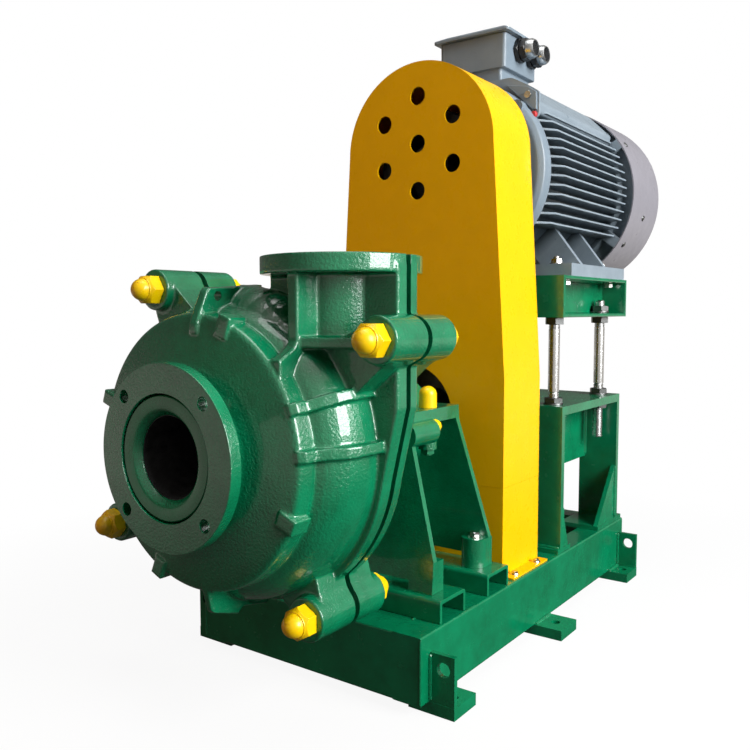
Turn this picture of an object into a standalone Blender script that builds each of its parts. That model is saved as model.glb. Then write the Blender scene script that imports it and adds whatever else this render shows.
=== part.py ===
"""Belt-driven slurry pump on a skid, with its motor on an adjustable platform above.

The shaft runs along Y, the suction flange faces -Y, +X is the discharge side and Z is up.
The origin is on the ground, under the middle of the whole set. Lengths are in metres.
"""

import math

import bmesh
import bpy
from mathutils import Matrix, Vector

# Overall places
SHAFT_HEIGHT = 0.362
SET_MIDDLE_Y = 0.617
FIT_GAP = 0.0003
CUT_OVERRUN = 0.004
SINK = 0.002
WELD_DISTANCE = 0.00001

# Skid frame
SKID_HALF_WIDTH = 0.2045
SKID_FRONT = 0.246
SKID_LENGTH = 0.768
PAD_THICKNESS = 0.016
CHANNEL_HEIGHT = 0.094
CHANNEL_FLANGE = 0.046
CHANNEL_WALL = 0.007
CHANNEL_FLANGE_WALL = 0.009
DECK_THICKNESS = 0.006
DECK_LENGTH = 0.490
PAD_REACH = 0.047
PAD_INSET = 0.034
MID_PAD_START = 0.349
MID_PAD_LENGTH = 0.063
END_PAD_REACH = 0.038
END_PAD_LENGTH = 0.058
END_PAD_SETBACK = 0.022
BRACKET_WALL = 0.008
BRACKET_HEIGHT = 0.085
PAD_HOLE_RADIUS = 0.0075
BRACKET_HOLE_RADIUS = 0.010

# Inverted channels that carry the pump frame
SUPPORT_HALF_LENGTH = 0.200
SUPPORT_WIDTH = 0.069
SUPPORT_HEIGHT = 0.032
SUPPORT_WALL = 0.0055
FRONT_SUPPORT_Y = 0.336
REAR_SUPPORT_Y = 0.471

# Motor stand
STAND_FRONT = 0.703
STAND_DEPTH = 0.287
STAND_HALF_WIDTH = 0.2015
STAND_TOP = 0.369
STAND_PLATE = 0.015
STAND_LEG_WIDTH = 0.077
STAND_WALL = 0.012
STAND_RAIL_HEIGHT = 0.118
STAND_SHOE_HEIGHT = 0.008
STAND_FRONT_SHOE = 0.055
STAND_REAR_SHOE = 0.128
STAND_FRONT_TOE = 0.010
STAND_REAR_TOE = 0.022
GUSSET_HEIGHT = 0.074
GUSSET_REACH = 0.028
REAR_GUSSET_HEIGHT = 0.107
REAR_GUSSET_REACH = 0.092

# Motor platform and its jacking rods
PLATFORM_BOTTOM = 0.524
PLATFORM_HEIGHT = 0.073
PLATFORM_DEPTH = 0.317
PLATFORM_FRONT = 0.700
PLATFORM_FLANGE = 0.055
PLATFORM_WALL = 0.008
ROD_X = 0.170
ROD_FRONT_Y = 0.736
ROD_REAR_Y = 0.956
ROD_RADIUS = 0.010
ROD_TOP_STICKOUT = 0.012
ROD_TAIL = 0.086
ROD_CLEARANCE = 0.0006
NUT_FLAT_RADIUS = 0.0150
NUT_HEIGHT = 0.012

# Pump casing, stations measured from the suction face
SUCTION_FLANGE_RADIUS = 0.1145
SUCTION_FLANGE_THICKNESS = 0.0165
SUCTION_HOLE_CIRCLE = 0.099
SUCTION_HOLE_RADIUS = 0.0085
INTAKE_SEAT_RADIUS = 0.0775
HUB_RADIUS = 0.094
HUB_END_RADIUS = 0.146
RING_RADIUS = 0.172
RING_STATION = 0.058
RING_STEP = 0.014
BULGE_RADIUS = 0.206
BULGE_STATION = 0.128
CASING_FLANGE_RADIUS = 0.216
CASING_FLANGE_FRONT = 0.150
CASING_FLANGE_THICKNESS = 0.018
CASING_GAP = 0.009
REAR_FLANGE_THICKNESS = 0.015
VOLUTE_GROWTH = 0.018
CASING_WALL = 0.013
CUTWATER_ANGLE = math.radians(78)
LUG_CIRCLE = 0.250
LUG_ANGLES = tuple(math.radians(a) for a in (31, 124, 210, 303))
LUG_REACH_SHARES = (1.10, 0.98, 1.07, 0.95)
LUG_NAMES = ("upper_right", "upper_left", "lower_left", "lower_right")
LUG_RADIUS = 0.028
LUG_FRONT = 0.104
LUG_REAR = 0.234
LUG_ARM_BACKSET = 0.012
RIB_ANGLES = tuple(math.radians(a) for a in (22, 4.5, 178))
RIB_WIDTH = 0.013
RIB_RISE = 0.010
PAD_ANGLES = tuple(math.radians(a) for a in (69, -22, 246, 160))
JACK_PAD_SIZE = 0.021
EYE_ANGLE = math.radians(85.5)
EYE_WIDTH = 0.011
EYE_LENGTH = 0.033
EYE_HOLE_RADIUS = 0.0065
FIN_ANGLE = math.radians(278)
FIN_WIDTH = 0.010

# Discharge branch
BRANCH_X = 0.134
BRANCH_TOP = 0.602
BRANCH_FLANGE_RADIUS = 0.100
BRANCH_FLANGE_THICKNESS = 0.022
BRANCH_HOLE_CIRCLE = 0.080
BRANCH_HOLE_RADIUS = 0.009
BRANCH_NECK_RADIUS = 0.057
BRANCH_BORE_RADIUS = 0.0375
BRANCH_PLATE_HALF_WIDTH = 0.090
BRANCH_RIB_WIDTH = 0.012
BRANCH_RIB_DEPTH = 0.054
BRANCH_RIB_SPREAD = 0.068
BRANCH_SHELF_DROP = 0.085
BRANCH_SHELF_THICKNESS = 0.014
BRANCH_PLINTH_HEIGHT = 0.020
BRANCH_PLINTH_DEPTH = 0.040

# Casing bolts and caps
CASING_BOLT_RADIUS = 0.010
CASING_BOLT_CLEARANCE = 0.0015
CASING_BOLT_STICKOUT = 0.022
CAP_FLAT_RADIUS = 0.0185
CAP_SKIRT = 0.020
CAP_DOME_RADIUS = 0.0150
CAP_WALL = 0.0022
CAP_TURNS = tuple(math.radians(a) for a in (30, 30, 15, 0))
STUD_NUT_HEIGHT = 0.015

# Liners, impeller and intake
BORE_RADIUS = 0.0508
BORE_CHAMFER = 0.0075
INTAKE_RADIUS = 0.0755
THROATBUSH_WALL = 0.014
LINER_GAP = 0.001
LINER_WALL = 0.016
IMPELLER_RADIUS = 0.1225
IMPELLER_EYE_RADIUS = 0.054
IMPELLER_FRONT = 0.096
IMPELLER_BACK = 0.160
SHROUD_THICKNESS = 0.009
VANE_COUNT = 5
VANE_THICKNESS = 0.011
VANE_SWEEP = math.radians(95)
HUB_OF_IMPELLER_RADIUS = 0.036
RUNNING_CLEARANCE = 0.0025
THROAT_RADIUS = 0.125
BACK_LINER_THICKNESS = 0.016

# Rear casing shell and stuffing box
REAR_SHELL_DEPTH = 0.050
REAR_SHELL_RADIUS = 0.118
STUFFING_BOX_RADIUS = 0.062
STUFFING_BOX_BORE = 0.046
STUFFING_BOX_END = 0.292
SLEEVE_RADIUS = 0.033
SLEEVE_END = 0.318
GLAND_FLANGE_RADIUS = 0.060
GLAND_FLANGE_THICKNESS = 0.010
GLAND_NOSE = 0.016
GLAND_TRAVEL = 0.006
PACKING_LENGTH = 0.050

# Shaft, bearing cartridge and pump frame
SHAFT_RADIUS = 0.0275
SHAFT_NOSE_RADIUS = 0.020
SHAFT_TAIL_RADIUS = 0.021
HOUSING_RADIUS = 0.072
HOUSING_FRONT = 0.330
HOUSING_REAR = 0.484
HOUSING_WALL = 0.012
END_COVER_RADIUS = 0.068
END_COVER_THICKNESS = 0.012
BEARING_WIDTH = 0.030
BEARING_OUTER_CLEARANCE = 0.0004
FRAME_WALL = 0.009
FRAME_FRONT = 0.338
FRAME_REAR = 0.468
FRAME_LEAN = 0.0185
FRAME_TOP_HALF_WIDTH = 0.128
FRAME_FOOT_HALF_WIDTH = 0.1785
FRAME_TOP = 0.391
FRAME_LEDGE_THICKNESS = 0.022
FRAME_LEDGE_INNER = 0.082
FOOT_HEIGHT = 0.0455
FOOT_LENGTH = 0.040
FOOT_WIDTH = 0.030
FOOT_WEB_RISE = 0.014
CLAMP_BOLT_X = 0.112
CLAMP_BOLT_Y = 0.408
CLAMP_BOLT_RADIUS = 0.007
CLAMP_BOSS_RADIUS = 0.014
CLAMP_BOSS_DROP = 0.062
STUD_BOSS_X = 0.124
STUD_BOSS_RISE = 0.006
STUD_BOSS_RADIUS = 0.023
STUD_BOSS_END = 0.377
SMALL_CAP_FLAT_RADIUS = 0.0125
SMALL_CAP_LENGTH = 0.022

# Belt drive
MOTOR_X = 0.0165
MOTOR_AXIS_RISE = 0.180
GROOVE_PITCH = 0.019
GROOVE_COUNT = 3
PULLEY_MARGIN = 0.0125
PUMP_PULLEY_RADIUS = 0.118
MOTOR_PULLEY_RADIUS = 0.095
PULLEY_FRONT = 0.561
PULLEY_RIM = 0.016
PULLEY_WEB = 0.014
PULLEY_HUB_RADIUS = 0.038
BELT_TOP_WIDTH = 0.016
BELT_HEIGHT = 0.012
GROOVE_DEPTH = 0.014
BELT_PROUD = 0.001
BELT_SIDE_GAP = 0.0004
GROOVE_LEAN = math.radians(19)

# Belt guard
GUARD_FRONT = 0.525
GUARD_DEPTH = 0.132
GUARD_WALL = 0.003
GUARD_ARC_RADIUS = 0.140
GUARD_ARC_HEIGHT = 0.802
GUARD_TAPER_SHARE = 0.0613
GUARD_LOW_HALF_WIDTH = 0.163
GUARD_SEAM_HEIGHT = 0.255
GUARD_HOLE_CIRCLE = 0.0765
GUARD_HOLE_RADIUS = 0.0145
GUARD_HOLE_RISE = 0.0085
GUARD_SHAFT_OPENING = 0.085
GUARD_FOOT_REACH = 0.020
GUARD_SLOT_RADIUS = 0.034
PLATFORM_RAISE = 0.015
PLATFORM_LOWER = 0.020

# Motor
MOTOR_BODY_FRONT = 0.692
MOTOR_BODY_LENGTH = 0.361
MOTOR_BODY_RADIUS = 0.140
MOTOR_FIN_RADIUS = 0.170
MOTOR_FIN_PITCH = 0.0159
MOTOR_FIN_THICKNESS = 0.0045
MOTOR_FIN_HALF_COUNT = 6
MOTOR_FIN_CHAMFER = 0.040
MOTOR_BORE_RADIUS = 0.1265
MOTOR_FOOT_HALF_WIDTH = 0.180
MOTOR_FOOT_WIDTH = 0.080
MOTOR_FOOT_THICKNESS = 0.022
MOTOR_FOOT_FRONT = 0.745
MOTOR_FOOT_LENGTH = 0.270
FOOT_RIB_THICKNESS = 0.012
FOOT_RIB_FRONT = 0.810
FOOT_RIB_SPACING = 0.115
FOOT_RIB_COUNT = 2
SHIELD_RADIUS = 0.160
SHIELD_THICKNESS = 0.022
SHIELD_HUB_RADIUS = 0.060
SHIELD_HUB_LENGTH = 0.006
MOTOR_SHAFT_RADIUS = 0.024
MOTOR_SHAFT_START = 0.556
ROTOR_RADIUS = 0.090
AIR_GAP = 0.0015
STATOR_INSET = 0.055
COWL_RADIUS = 0.184
COWL_LENGTH = 0.180
COWL_WALL = 0.0025
COWL_CORNER = 0.020
COWL_SLOT_WIDTH = 0.006
FAN_RADIUS = 0.140
FAN_HUB_RADIUS = 0.045
FAN_BLADE_COUNT = 8
FAN_WIDTH = 0.034
TERMINAL_BOX_FRONT = 0.705
TERMINAL_BOX_DEPTH = 0.126
TERMINAL_BOX_HALF_WIDTH = 0.067
TERMINAL_BOX_HEIGHT = 0.060
TERMINAL_NECK_INSET = 0.010
TERMINAL_BOX_RISE = 0.188
LID_OVERHANG = 0.009
LID_HEIGHT = 0.014
LID_RIM = 0.005
TERMINAL_WALL = 0.005
GLAND_RADIUS = 0.0198
GLAND_LENGTH = 0.034
GLAND_SPACING = 0.047
GLAND_SHIFT = 0.012
GLAND_RISE = 0.038
GLAND_BORE = 0.012
TOP_DECK_HALF_WIDTH = 0.085
TOP_DECK_RISE = 0.163
DECK_FLANK_HALF_WIDTH = 0.134
DECK_FLANK_RISE = 0.112

# Facets
ROUND_SIDES = 28
SMALL_SIDES = 12
CASING_SIDES = 40
BRANCH_SIDES = 24
HIDDEN_SIDES = 20
LUG_SIDES = 16
VENT_SIDES = 12
CROWN_STEPS = 18
HEX_SIDES = 6

# Colours as linear values: the enamel, the guard, the caps, the motor and the metals
GREEN = (0.003, 0.150, 0.070)
YELLOW = (0.900, 0.640, 0.010)
CAP_YELLOW = (0.950, 0.620, 0.005)
MOTOR_GREY = (0.210, 0.270, 0.330)
COWL_GREY = (0.370, 0.360, 0.390)
STEEL = (0.520, 0.520, 0.530)
CAST_IRON = (0.180, 0.180, 0.190)
RUBBER = (0.012, 0.012, 0.013)
BRASS = (0.600, 0.420, 0.150)
BLACK = (0.020, 0.020, 0.022)

SKID_TOP = PAD_THICKNESS + CHANNEL_HEIGHT
SUPPORT_TOP = SKID_TOP + FIT_GAP + SUPPORT_HEIGHT
PLATFORM_TOP = PLATFORM_BOTTOM + PLATFORM_HEIGHT
MOTOR_FOOT_BOTTOM = PLATFORM_TOP + FIT_GAP
MOTOR_AXIS = MOTOR_FOOT_BOTTOM + MOTOR_AXIS_RISE
SPLIT_FRONT = CASING_FLANGE_FRONT + CASING_FLANGE_THICKNESS
SPLIT_REAR = SPLIT_FRONT + CASING_GAP
SPLIT_MIDDLE = SPLIT_FRONT + CASING_GAP / 2
REAR_FLANGE_BACK = SPLIT_REAR + REAR_FLANGE_THICKNESS
VOLUTE_START_RADIUS = IMPELLER_RADIUS + RUNNING_CLEARANCE * 4


def new_collection(name):
    """Makes a collection in the scene."""
    collection = bpy.data.collections.new(name)
    bpy.context.scene.collection.children.link(collection)
    return collection


for old in list(bpy.data.objects):
    bpy.data.objects.remove(old, do_unlink=True)

PARTS = new_collection("slurry_pump")
CUTTERS = new_collection("cutters")


def make_material(name, colour, roughness, metallic=0.0):
    """A Principled material with the piece's own colour."""
    material = bpy.data.materials.new(name)
    material.use_nodes = True
    shader = material.node_tree.nodes["Principled BSDF"]
    shader.inputs["Base Color"].default_value = (*colour, 1.0)
    shader.inputs["Roughness"].default_value = roughness
    shader.inputs["Metallic"].default_value = metallic
    return material


ENAMEL = make_material("green_enamel", GREEN, 0.3)
GUARD_PAINT = make_material("yellow_paint", YELLOW, 0.35)
CAP_PLASTIC = make_material("yellow_plastic", CAP_YELLOW, 0.4)
MOTOR_PAINT = make_material("motor_paint", MOTOR_GREY, 0.45)
COWL_PAINT = make_material("cowl_paint", COWL_GREY, 0.4)
ZINC = make_material("zinc_plated_steel", STEEL, 0.35, 1.0)
IRON = make_material("grey_iron", CAST_IRON, 0.6, 1.0)
RUBBER_MATERIAL = make_material("black_rubber", RUBBER, 0.7)
BRONZE = make_material("bronze", BRASS, 0.4, 1.0)
BLACK_PLASTIC = make_material("black_plastic", BLACK, 0.4)


def world(x, station, z):
    """A place given by its station from the suction face, as a point in the part's frame."""
    return Vector((x, station - SET_MIDDLE_Y, z))


def link_guide(mesh, name="guide"):
    """An object that only shapes others: hidden from renders and drawn as wire."""
    guide = bpy.data.objects.new(name, mesh)
    CUTTERS.objects.link(guide)
    guide.hide_render = True
    guide.display_type = "WIRE"
    return guide


def mesh_of(bm, name):
    """Turns a bmesh into a mesh with its faces pointing out."""
    bmesh.ops.recalc_face_normals(bm, faces=bm.faces)
    mesh = bpy.data.meshes.new(name)
    bm.to_mesh(mesh)
    bm.free()
    return mesh


def block(low, high):
    """A box between two corners, each given as (x, station, z)."""
    low, high = world(*low), world(*high)
    bm = bmesh.new()
    bmesh.ops.create_cube(bm, size=1.0)
    middle, size = (low + high) / 2, high - low
    bmesh.ops.transform(bm, matrix=Matrix.Translation(middle) @ Matrix.Diagonal(size).to_4x4(), verts=bm.verts)
    return link_guide(mesh_of(bm, "block"))


def bar(start, end, radius, sides=SMALL_SIDES, end_radius=None, turn=0.0):
    """A round or many-sided bar between two places given as (x, station, z)."""
    start, end = world(*start), world(*end)
    along = end - start
    bm = bmesh.new()
    top = radius if end_radius is None else end_radius
    bmesh.ops.create_cone(
        bm, cap_ends=True, segments=sides, radius1=radius, radius2=top, depth=along.length
    )
    aim = along.to_track_quat("Z", "Y").to_matrix().to_4x4()
    spin = Matrix.Rotation(turn, 4, "Z")
    bmesh.ops.transform(bm, matrix=Matrix.Translation((start + end) / 2) @ aim @ spin, verts=bm.verts)
    return link_guide(mesh_of(bm, "bar"))


def hex_bar(start, end, flat_radius, turn=0.0):
    """A hexagonal bar, sized by half its width across flats."""
    return bar(start, end, flat_radius / math.cos(math.pi / HEX_SIDES), HEX_SIDES, turn=turn)


def running_bore(radius, sides, clearance=0.0):
    """The corner radius of a many-sided bore that a round piece of a radius can turn in."""
    return (radius + clearance) / math.cos(math.pi / sides)


def settled(guide):
    """Applies an object's modifiers and returns it."""
    graph = bpy.context.evaluated_depsgraph_get()
    mesh = bpy.data.meshes.new_from_object(guide.evaluated_get(graph))
    guide.modifiers.clear()
    guide.data = mesh
    return guide


def turned(outer, inner=(), middle=(0.0, 0.0, 0.0), sides=ROUND_SIDES, axis="Y"):
    """A turned solid. Outer and inner are (station along the axis, radius), in rising order."""
    rows = [(radius, station) for station, radius in reversed(outer)]
    if inner:
        rows += [(radius, station) for station, radius in inner]
    else:
        rows = [(0.0, rows[0][1])] + rows + [(0.0, rows[-1][1])]
    bm = bmesh.new()
    verts = [bm.verts.new((radius, 0.0, station)) for radius, station in rows]
    for first, second in zip(verts, verts[1:]):
        bm.edges.new((first, second))
    if inner:
        bm.edges.new((verts[-1], verts[0]))
    mesh = bpy.data.meshes.new("profile")
    bm.to_mesh(mesh)
    bm.free()
    piece = link_guide(mesh, "turned")
    screw = piece.modifiers.new("turn", "SCREW")
    screw.steps = sides
    screw.render_steps = sides
    screw.use_merge_vertices = True
    screw.merge_threshold = WELD_DISTANCE
    if axis == "Y":
        piece.rotation_euler = (-math.pi / 2, 0.0, 0.0)
    elif axis == "X":
        piece.rotation_euler = (0.0, math.pi / 2, 0.0)
    piece.location = world(*middle)
    bpy.context.view_layer.update()
    settled(piece)
    piece.data.transform(piece.matrix_world)
    piece.matrix_world = Matrix.Identity(4)
    bm = bmesh.new()
    bm.from_mesh(piece.data)
    bmesh.ops.remove_doubles(bm, verts=bm.verts, dist=WELD_DISTANCE)
    if not inner:
        hub = world(*middle)
        across = (0, 2) if axis == "Y" else (1, 2)
        on_axis = [v for v in bm.verts if all(abs(v.co[k] - hub[k]) < WELD_DISTANCE for k in across)]
        bmesh.ops.dissolve_verts(bm, verts=on_axis)
    bmesh.ops.recalc_face_normals(bm, faces=bm.faces)
    bm.to_mesh(piece.data)
    bm.free()
    return piece


def sheet(points, start, end, facing="Y"):
    """A flat outline given a thickness. Points are (x, z) facing Y, (station, z) facing X or (x, station)."""
    curve = bpy.data.curves.new("outline", "CURVE")
    curve.dimensions = "2D"
    curve.fill_mode = "BOTH"
    curve.extrude = abs(end - start) / 2
    spline = curve.splines.new("POLY")
    spline.points.add(len(points) - 1)
    for spot, (u, v) in zip(spline.points, points):
        spot.co = (u, v, 0.0, 1.0)
    spline.use_cyclic_u = True
    holder = bpy.data.objects.new("outline", curve)
    CUTTERS.objects.link(holder)
    middle = (start + end) / 2
    if facing == "Y":
        place = Matrix.Translation(world(0.0, middle, 0.0)) @ Matrix.Rotation(math.pi / 2, 4, "X")
    elif facing == "X":
        turn = Matrix(((0, 0, 1, 0), (1, 0, 0, 0), (0, 1, 0, 0), (0, 0, 0, 1)))
        place = Matrix.Translation(world(middle, 0.0, 0.0)) @ turn
    else:
        place = Matrix.Translation(world(0.0, 0.0, middle))
    bpy.context.view_layer.update()
    graph = bpy.context.evaluated_depsgraph_get()
    mesh = bpy.data.meshes.new_from_object(holder.evaluated_get(graph))
    bpy.data.objects.remove(holder, do_unlink=True)
    mesh.transform(place)
    bm = bmesh.new()
    bm.from_mesh(mesh)
    bmesh.ops.remove_doubles(bm, verts=bm.verts, dist=WELD_DISTANCE)
    bmesh.ops.dissolve_limit(bm, angle_limit=0.001, verts=bm.verts, edges=bm.edges)
    bmesh.ops.recalc_face_normals(bm, faces=bm.faces)
    bm.to_mesh(mesh)
    bm.free()
    return link_guide(mesh, "sheet")


def combine(base, pieces, operation):
    """Applies one Boolean for each piece and removes the piece."""
    for piece in pieces:
        modifier = base.modifiers.new("shape", "BOOLEAN")
        modifier.operation = operation
        modifier.solver = "EXACT"
        modifier.object = piece
        bpy.context.view_layer.update()
        settled(base)
        bpy.data.objects.remove(piece, do_unlink=True)
    return base


def join(base, *pieces):
    """Fuses shapes into one body."""
    return combine(base, pieces, "UNION")


def cut(base, *pieces):
    """Takes shapes away from a body."""
    return combine(base, pieces, "DIFFERENCE")


def common(base, *pieces):
    """Keeps only what shapes share."""
    return combine(base, pieces, "INTERSECT")


def finish(piece, name, material, smooth=math.radians(32), pivot=(0.0, 0.0, 0.0)):
    """Names a body, gives it its material and its origin, and puts it in the part."""
    piece.name = name
    piece.data.name = name
    piece.data.materials.clear()
    piece.data.materials.append(material)
    origin = world(pivot[0], pivot[1], pivot[2]) if any(pivot) else Vector()
    bm = bmesh.new()
    bm.from_mesh(piece.data)
    bmesh.ops.remove_doubles(bm, verts=bm.verts, dist=WELD_DISTANCE / 2)
    bmesh.ops.dissolve_degenerate(bm, edges=bm.edges, dist=WELD_DISTANCE / 2)
    bm.to_mesh(piece.data)
    bm.free()
    piece.data.transform(Matrix.Translation(-origin))
    piece.location = origin
    piece.data.shade_smooth()
    piece.data.set_sharp_from_angle(angle=smooth)
    CUTTERS.objects.unlink(piece)
    PARTS.objects.link(piece)
    piece.hide_render = False
    piece.display_type = "TEXTURED"
    return piece


def arc(middle, radius, start, end, steps):
    """Points along an arc, both ends included."""
    angles = [start + (end - start) * step / steps for step in range(steps + 1)]
    return [(middle[0] + radius * math.cos(a), middle[1] + radius * math.sin(a)) for a in angles]


def both_sides(points):
    """Completes the right half of an outline, listed from the bottom up, with its mirror image."""
    return points + [(-x, z) for x, z in reversed(points)]


def around_shaft(radius, angle):
    """The x and z of a place round the pump shaft."""
    return radius * math.cos(angle), SHAFT_HEIGHT + radius * math.sin(angle)


def shaft_block(angle, inner, outer, width, start, end):
    """A block that stands out from the shaft axis at an angle, between two radii and two stations."""
    piece = block((inner, start, -width / 2), (outer, end, width / 2))
    piece.data.transform(Matrix.Rotation(-angle, 4, "Y"))
    piece.data.transform(Matrix.Translation((0.0, 0.0, SHAFT_HEIGHT)))
    return piece


def nut(x, station, bottom, height=NUT_HEIGHT):
    """A hexagon nut that lies flat on a face at height bottom."""
    return hex_bar((x, station, bottom), (x, station, bottom + height), NUT_FLAT_RADIUS)


def skid_pad(side, start, length, reach):
    """A foot plate under a side channel, on the left (-1) or the right (1)."""
    edges = sorted((side * (SKID_HALF_WIDTH - PAD_INSET), side * (SKID_HALF_WIDTH + reach)))
    pad = block((edges[0], start, 0.0), (edges[1], start + length, PAD_THICKNESS + SINK / 2))
    hole_x = side * (SKID_HALF_WIDTH + reach * 0.5)
    middle = start + length / 2
    hole = bar((hole_x, middle, -CUT_OVERRUN), (hole_x, middle, PAD_THICKNESS + CUT_OVERRUN), PAD_HOLE_RADIUS)
    return cut(pad, hole)


def end_bracket(side, pad_start, plate_start):
    """The lifting plate with its eye beside a corner pad."""
    edges = sorted((side * (SKID_HALF_WIDTH - SINK), side * (SKID_HALF_WIDTH + END_PAD_REACH)))
    plate = block((edges[0], plate_start, 0.0), (edges[1], plate_start + BRACKET_WALL, BRACKET_HEIGHT))
    eye_x = side * (SKID_HALF_WIDTH + END_PAD_REACH * 0.55)
    eye_z = BRACKET_HEIGHT - BRACKET_HOLE_RADIUS * 2
    eye = bar(
        (eye_x, plate_start - CUT_OVERRUN, eye_z),
        (eye_x, plate_start + BRACKET_WALL + CUT_OVERRUN, eye_z),
        BRACKET_HOLE_RADIUS,
    )
    return join(skid_pad(side, pad_start, END_PAD_LENGTH, END_PAD_REACH), cut(plate, eye))


def side_channel(side):
    """One channel of the skid, with its web outward."""
    outer, inner = side * SKID_HALF_WIDTH, side * (SKID_HALF_WIDTH - CHANNEL_FLANGE)
    web = side * (SKID_HALF_WIDTH - CHANNEL_WALL)
    low, high = PAD_THICKNESS, SKID_TOP
    points = [
        (outer, low),
        (outer, high),
        (inner, high),
        (inner, high - CHANNEL_FLANGE_WALL),
        (web, high - CHANNEL_FLANGE_WALL),
        (web, low + CHANNEL_FLANGE_WALL),
        (inner, low + CHANNEL_FLANGE_WALL),
        (inner, low),
    ]
    return sheet(points, SKID_FRONT, SKID_FRONT + SKID_LENGTH)


def end_channel(station, direction):
    """A cross member with its web at station and its flanges towards the middle of the skid."""
    back = station + direction * CHANNEL_FLANGE
    web = station + direction * CHANNEL_WALL
    low, high = PAD_THICKNESS, SKID_TOP
    points = [
        (station, low),
        (station, high),
        (back, high),
        (back, high - CHANNEL_FLANGE_WALL),
        (web, high - CHANNEL_FLANGE_WALL),
        (web, low + CHANNEL_FLANGE_WALL),
        (back, low + CHANNEL_FLANGE_WALL),
        (back, low),
    ]
    reach = SKID_HALF_WIDTH - CHANNEL_WALL / 2
    return sheet(points, -reach, reach, facing="X")


def build_skid():
    """Side and end channels, the deck, the pads and the lifting plates, welded into one frame."""
    rear = SKID_FRONT + SKID_LENGTH
    inner = SKID_HALF_WIDTH - CHANNEL_FLANGE / 2
    deck = block(
        (-inner, SKID_FRONT + CHANNEL_FLANGE / 2, SKID_TOP - DECK_THICKNESS),
        (inner, SKID_FRONT + DECK_LENGTH, SKID_TOP),
    )
    frame = join(side_channel(1), end_channel(SKID_FRONT, 1), end_channel(rear, -1), side_channel(-1), deck)
    for side in (-1, 1):
        front_plate = SKID_FRONT + END_PAD_SETBACK
        rear_plate = rear - END_PAD_SETBACK - BRACKET_WALL + BRACKET_WALL / 2
        join(frame, end_bracket(side, front_plate, front_plate))
        join(frame, end_bracket(side, rear_plate + BRACKET_WALL - END_PAD_LENGTH, rear_plate))
        join(frame, skid_pad(side, SKID_FRONT + MID_PAD_START, MID_PAD_LENGTH, PAD_REACH))
    finish(frame, "skid_frame", ENAMEL)


def build_supports():
    """The two inverted channels that lie across the deck under the pump frame's feet."""
    low = SKID_TOP + FIT_GAP
    for name, station in (("front_support_channel", FRONT_SUPPORT_Y), ("rear_support_channel", REAR_SUPPORT_Y)):
        half, wall = SUPPORT_WIDTH / 2, SUPPORT_WALL
        points = [
            (station - half, low),
            (station - half + wall, low),
            (station - half + wall, SUPPORT_TOP - wall),
            (station + half - wall, SUPPORT_TOP - wall),
            (station + half - wall, low),
            (station + half, low),
            (station + half, SUPPORT_TOP),
            (station - half, SUPPORT_TOP),
        ]
        finish(sheet(points, -SUPPORT_HALF_LENGTH, SUPPORT_HALF_LENGTH, facing="X"), name, ENAMEL)


def build_motor_stand():
    """Four plate legs, two rails and the table, with the rods' lock nuts on it."""
    low, high = SKID_TOP + FIT_GAP, STAND_TOP
    rear = STAND_FRONT + STAND_DEPTH
    table = block((-STAND_HALF_WIDTH, STAND_FRONT, high - STAND_PLATE), (STAND_HALF_WIDTH, rear, high))
    leg_top = high - STAND_PLATE + SINK
    ground = low + STAND_SHOE_HEIGHT - SINK / 2
    for side in (-1, 1):
        outer, inner = side * STAND_HALF_WIDTH, side * (STAND_HALF_WIDTH - STAND_LEG_WIDTH)
        left, right = sorted((outer, inner))
        rail = sorted((inner, inner + side * STAND_WALL))
        edge = sorted((outer - side * SINK, outer - side * (STAND_WALL - SINK)))
        front_leg = block((left, STAND_FRONT, ground), (right, STAND_FRONT + STAND_WALL, leg_top))
        rear_leg = block((left, rear - STAND_WALL, ground), (right, rear, leg_top))
        beam = block((rail[0], STAND_FRONT + SINK, leg_top - STAND_RAIL_HEIGHT), (rail[1], rear - SINK, leg_top))
        front_shoe = STAND_FRONT - STAND_FRONT_TOE
        rear_shoe = rear + STAND_REAR_TOE - STAND_REAR_SHOE
        shoe_top = low + STAND_SHOE_HEIGHT
        shoes = [
            block((left, front_shoe, low), (right, front_shoe + STAND_FRONT_SHOE, shoe_top)),
            block((left, rear_shoe, low), (right, rear_shoe + STAND_REAR_SHOE, shoe_top)),
        ]
        front_points = [
            (STAND_FRONT + SINK, ground),
            (STAND_FRONT + STAND_WALL + GUSSET_REACH, ground),
            (STAND_FRONT + STAND_WALL, ground + GUSSET_HEIGHT),
            (STAND_FRONT + SINK, ground + GUSSET_HEIGHT),
        ]
        rear_points = [
            (rear - SINK, ground),
            (rear - SINK, ground + REAR_GUSSET_HEIGHT),
            (rear - STAND_WALL, ground + REAR_GUSSET_HEIGHT),
            (rear - STAND_WALL - REAR_GUSSET_REACH, ground),
        ]
        front_gusset = sheet(front_points, edge[0], edge[1], facing="X")
        rear_gusset = sheet(rear_points, edge[0], edge[1], facing="X")
        join(table, front_leg, rear_leg, beam, *shoes, front_gusset, rear_gusset)
    for x in (-ROD_X, ROD_X):
        for station in (ROD_FRONT_Y, ROD_REAR_Y):
            join(table, nut(x, station, high - SINK, NUT_HEIGHT + SINK))
            join(table, nut(x, station, high - STAND_PLATE - NUT_HEIGHT, NUT_HEIGHT + SINK))
            hole_radius = ROD_RADIUS + ROD_CLEARANCE
            below = high - STAND_PLATE - NUT_HEIGHT - CUT_OVERRUN
            above = high + NUT_HEIGHT + CUT_OVERRUN
            cut(table, bar((x, station, below), (x, station, above), hole_radius, SMALL_SIDES))
    finish(table, "motor_stand", ENAMEL)


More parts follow.
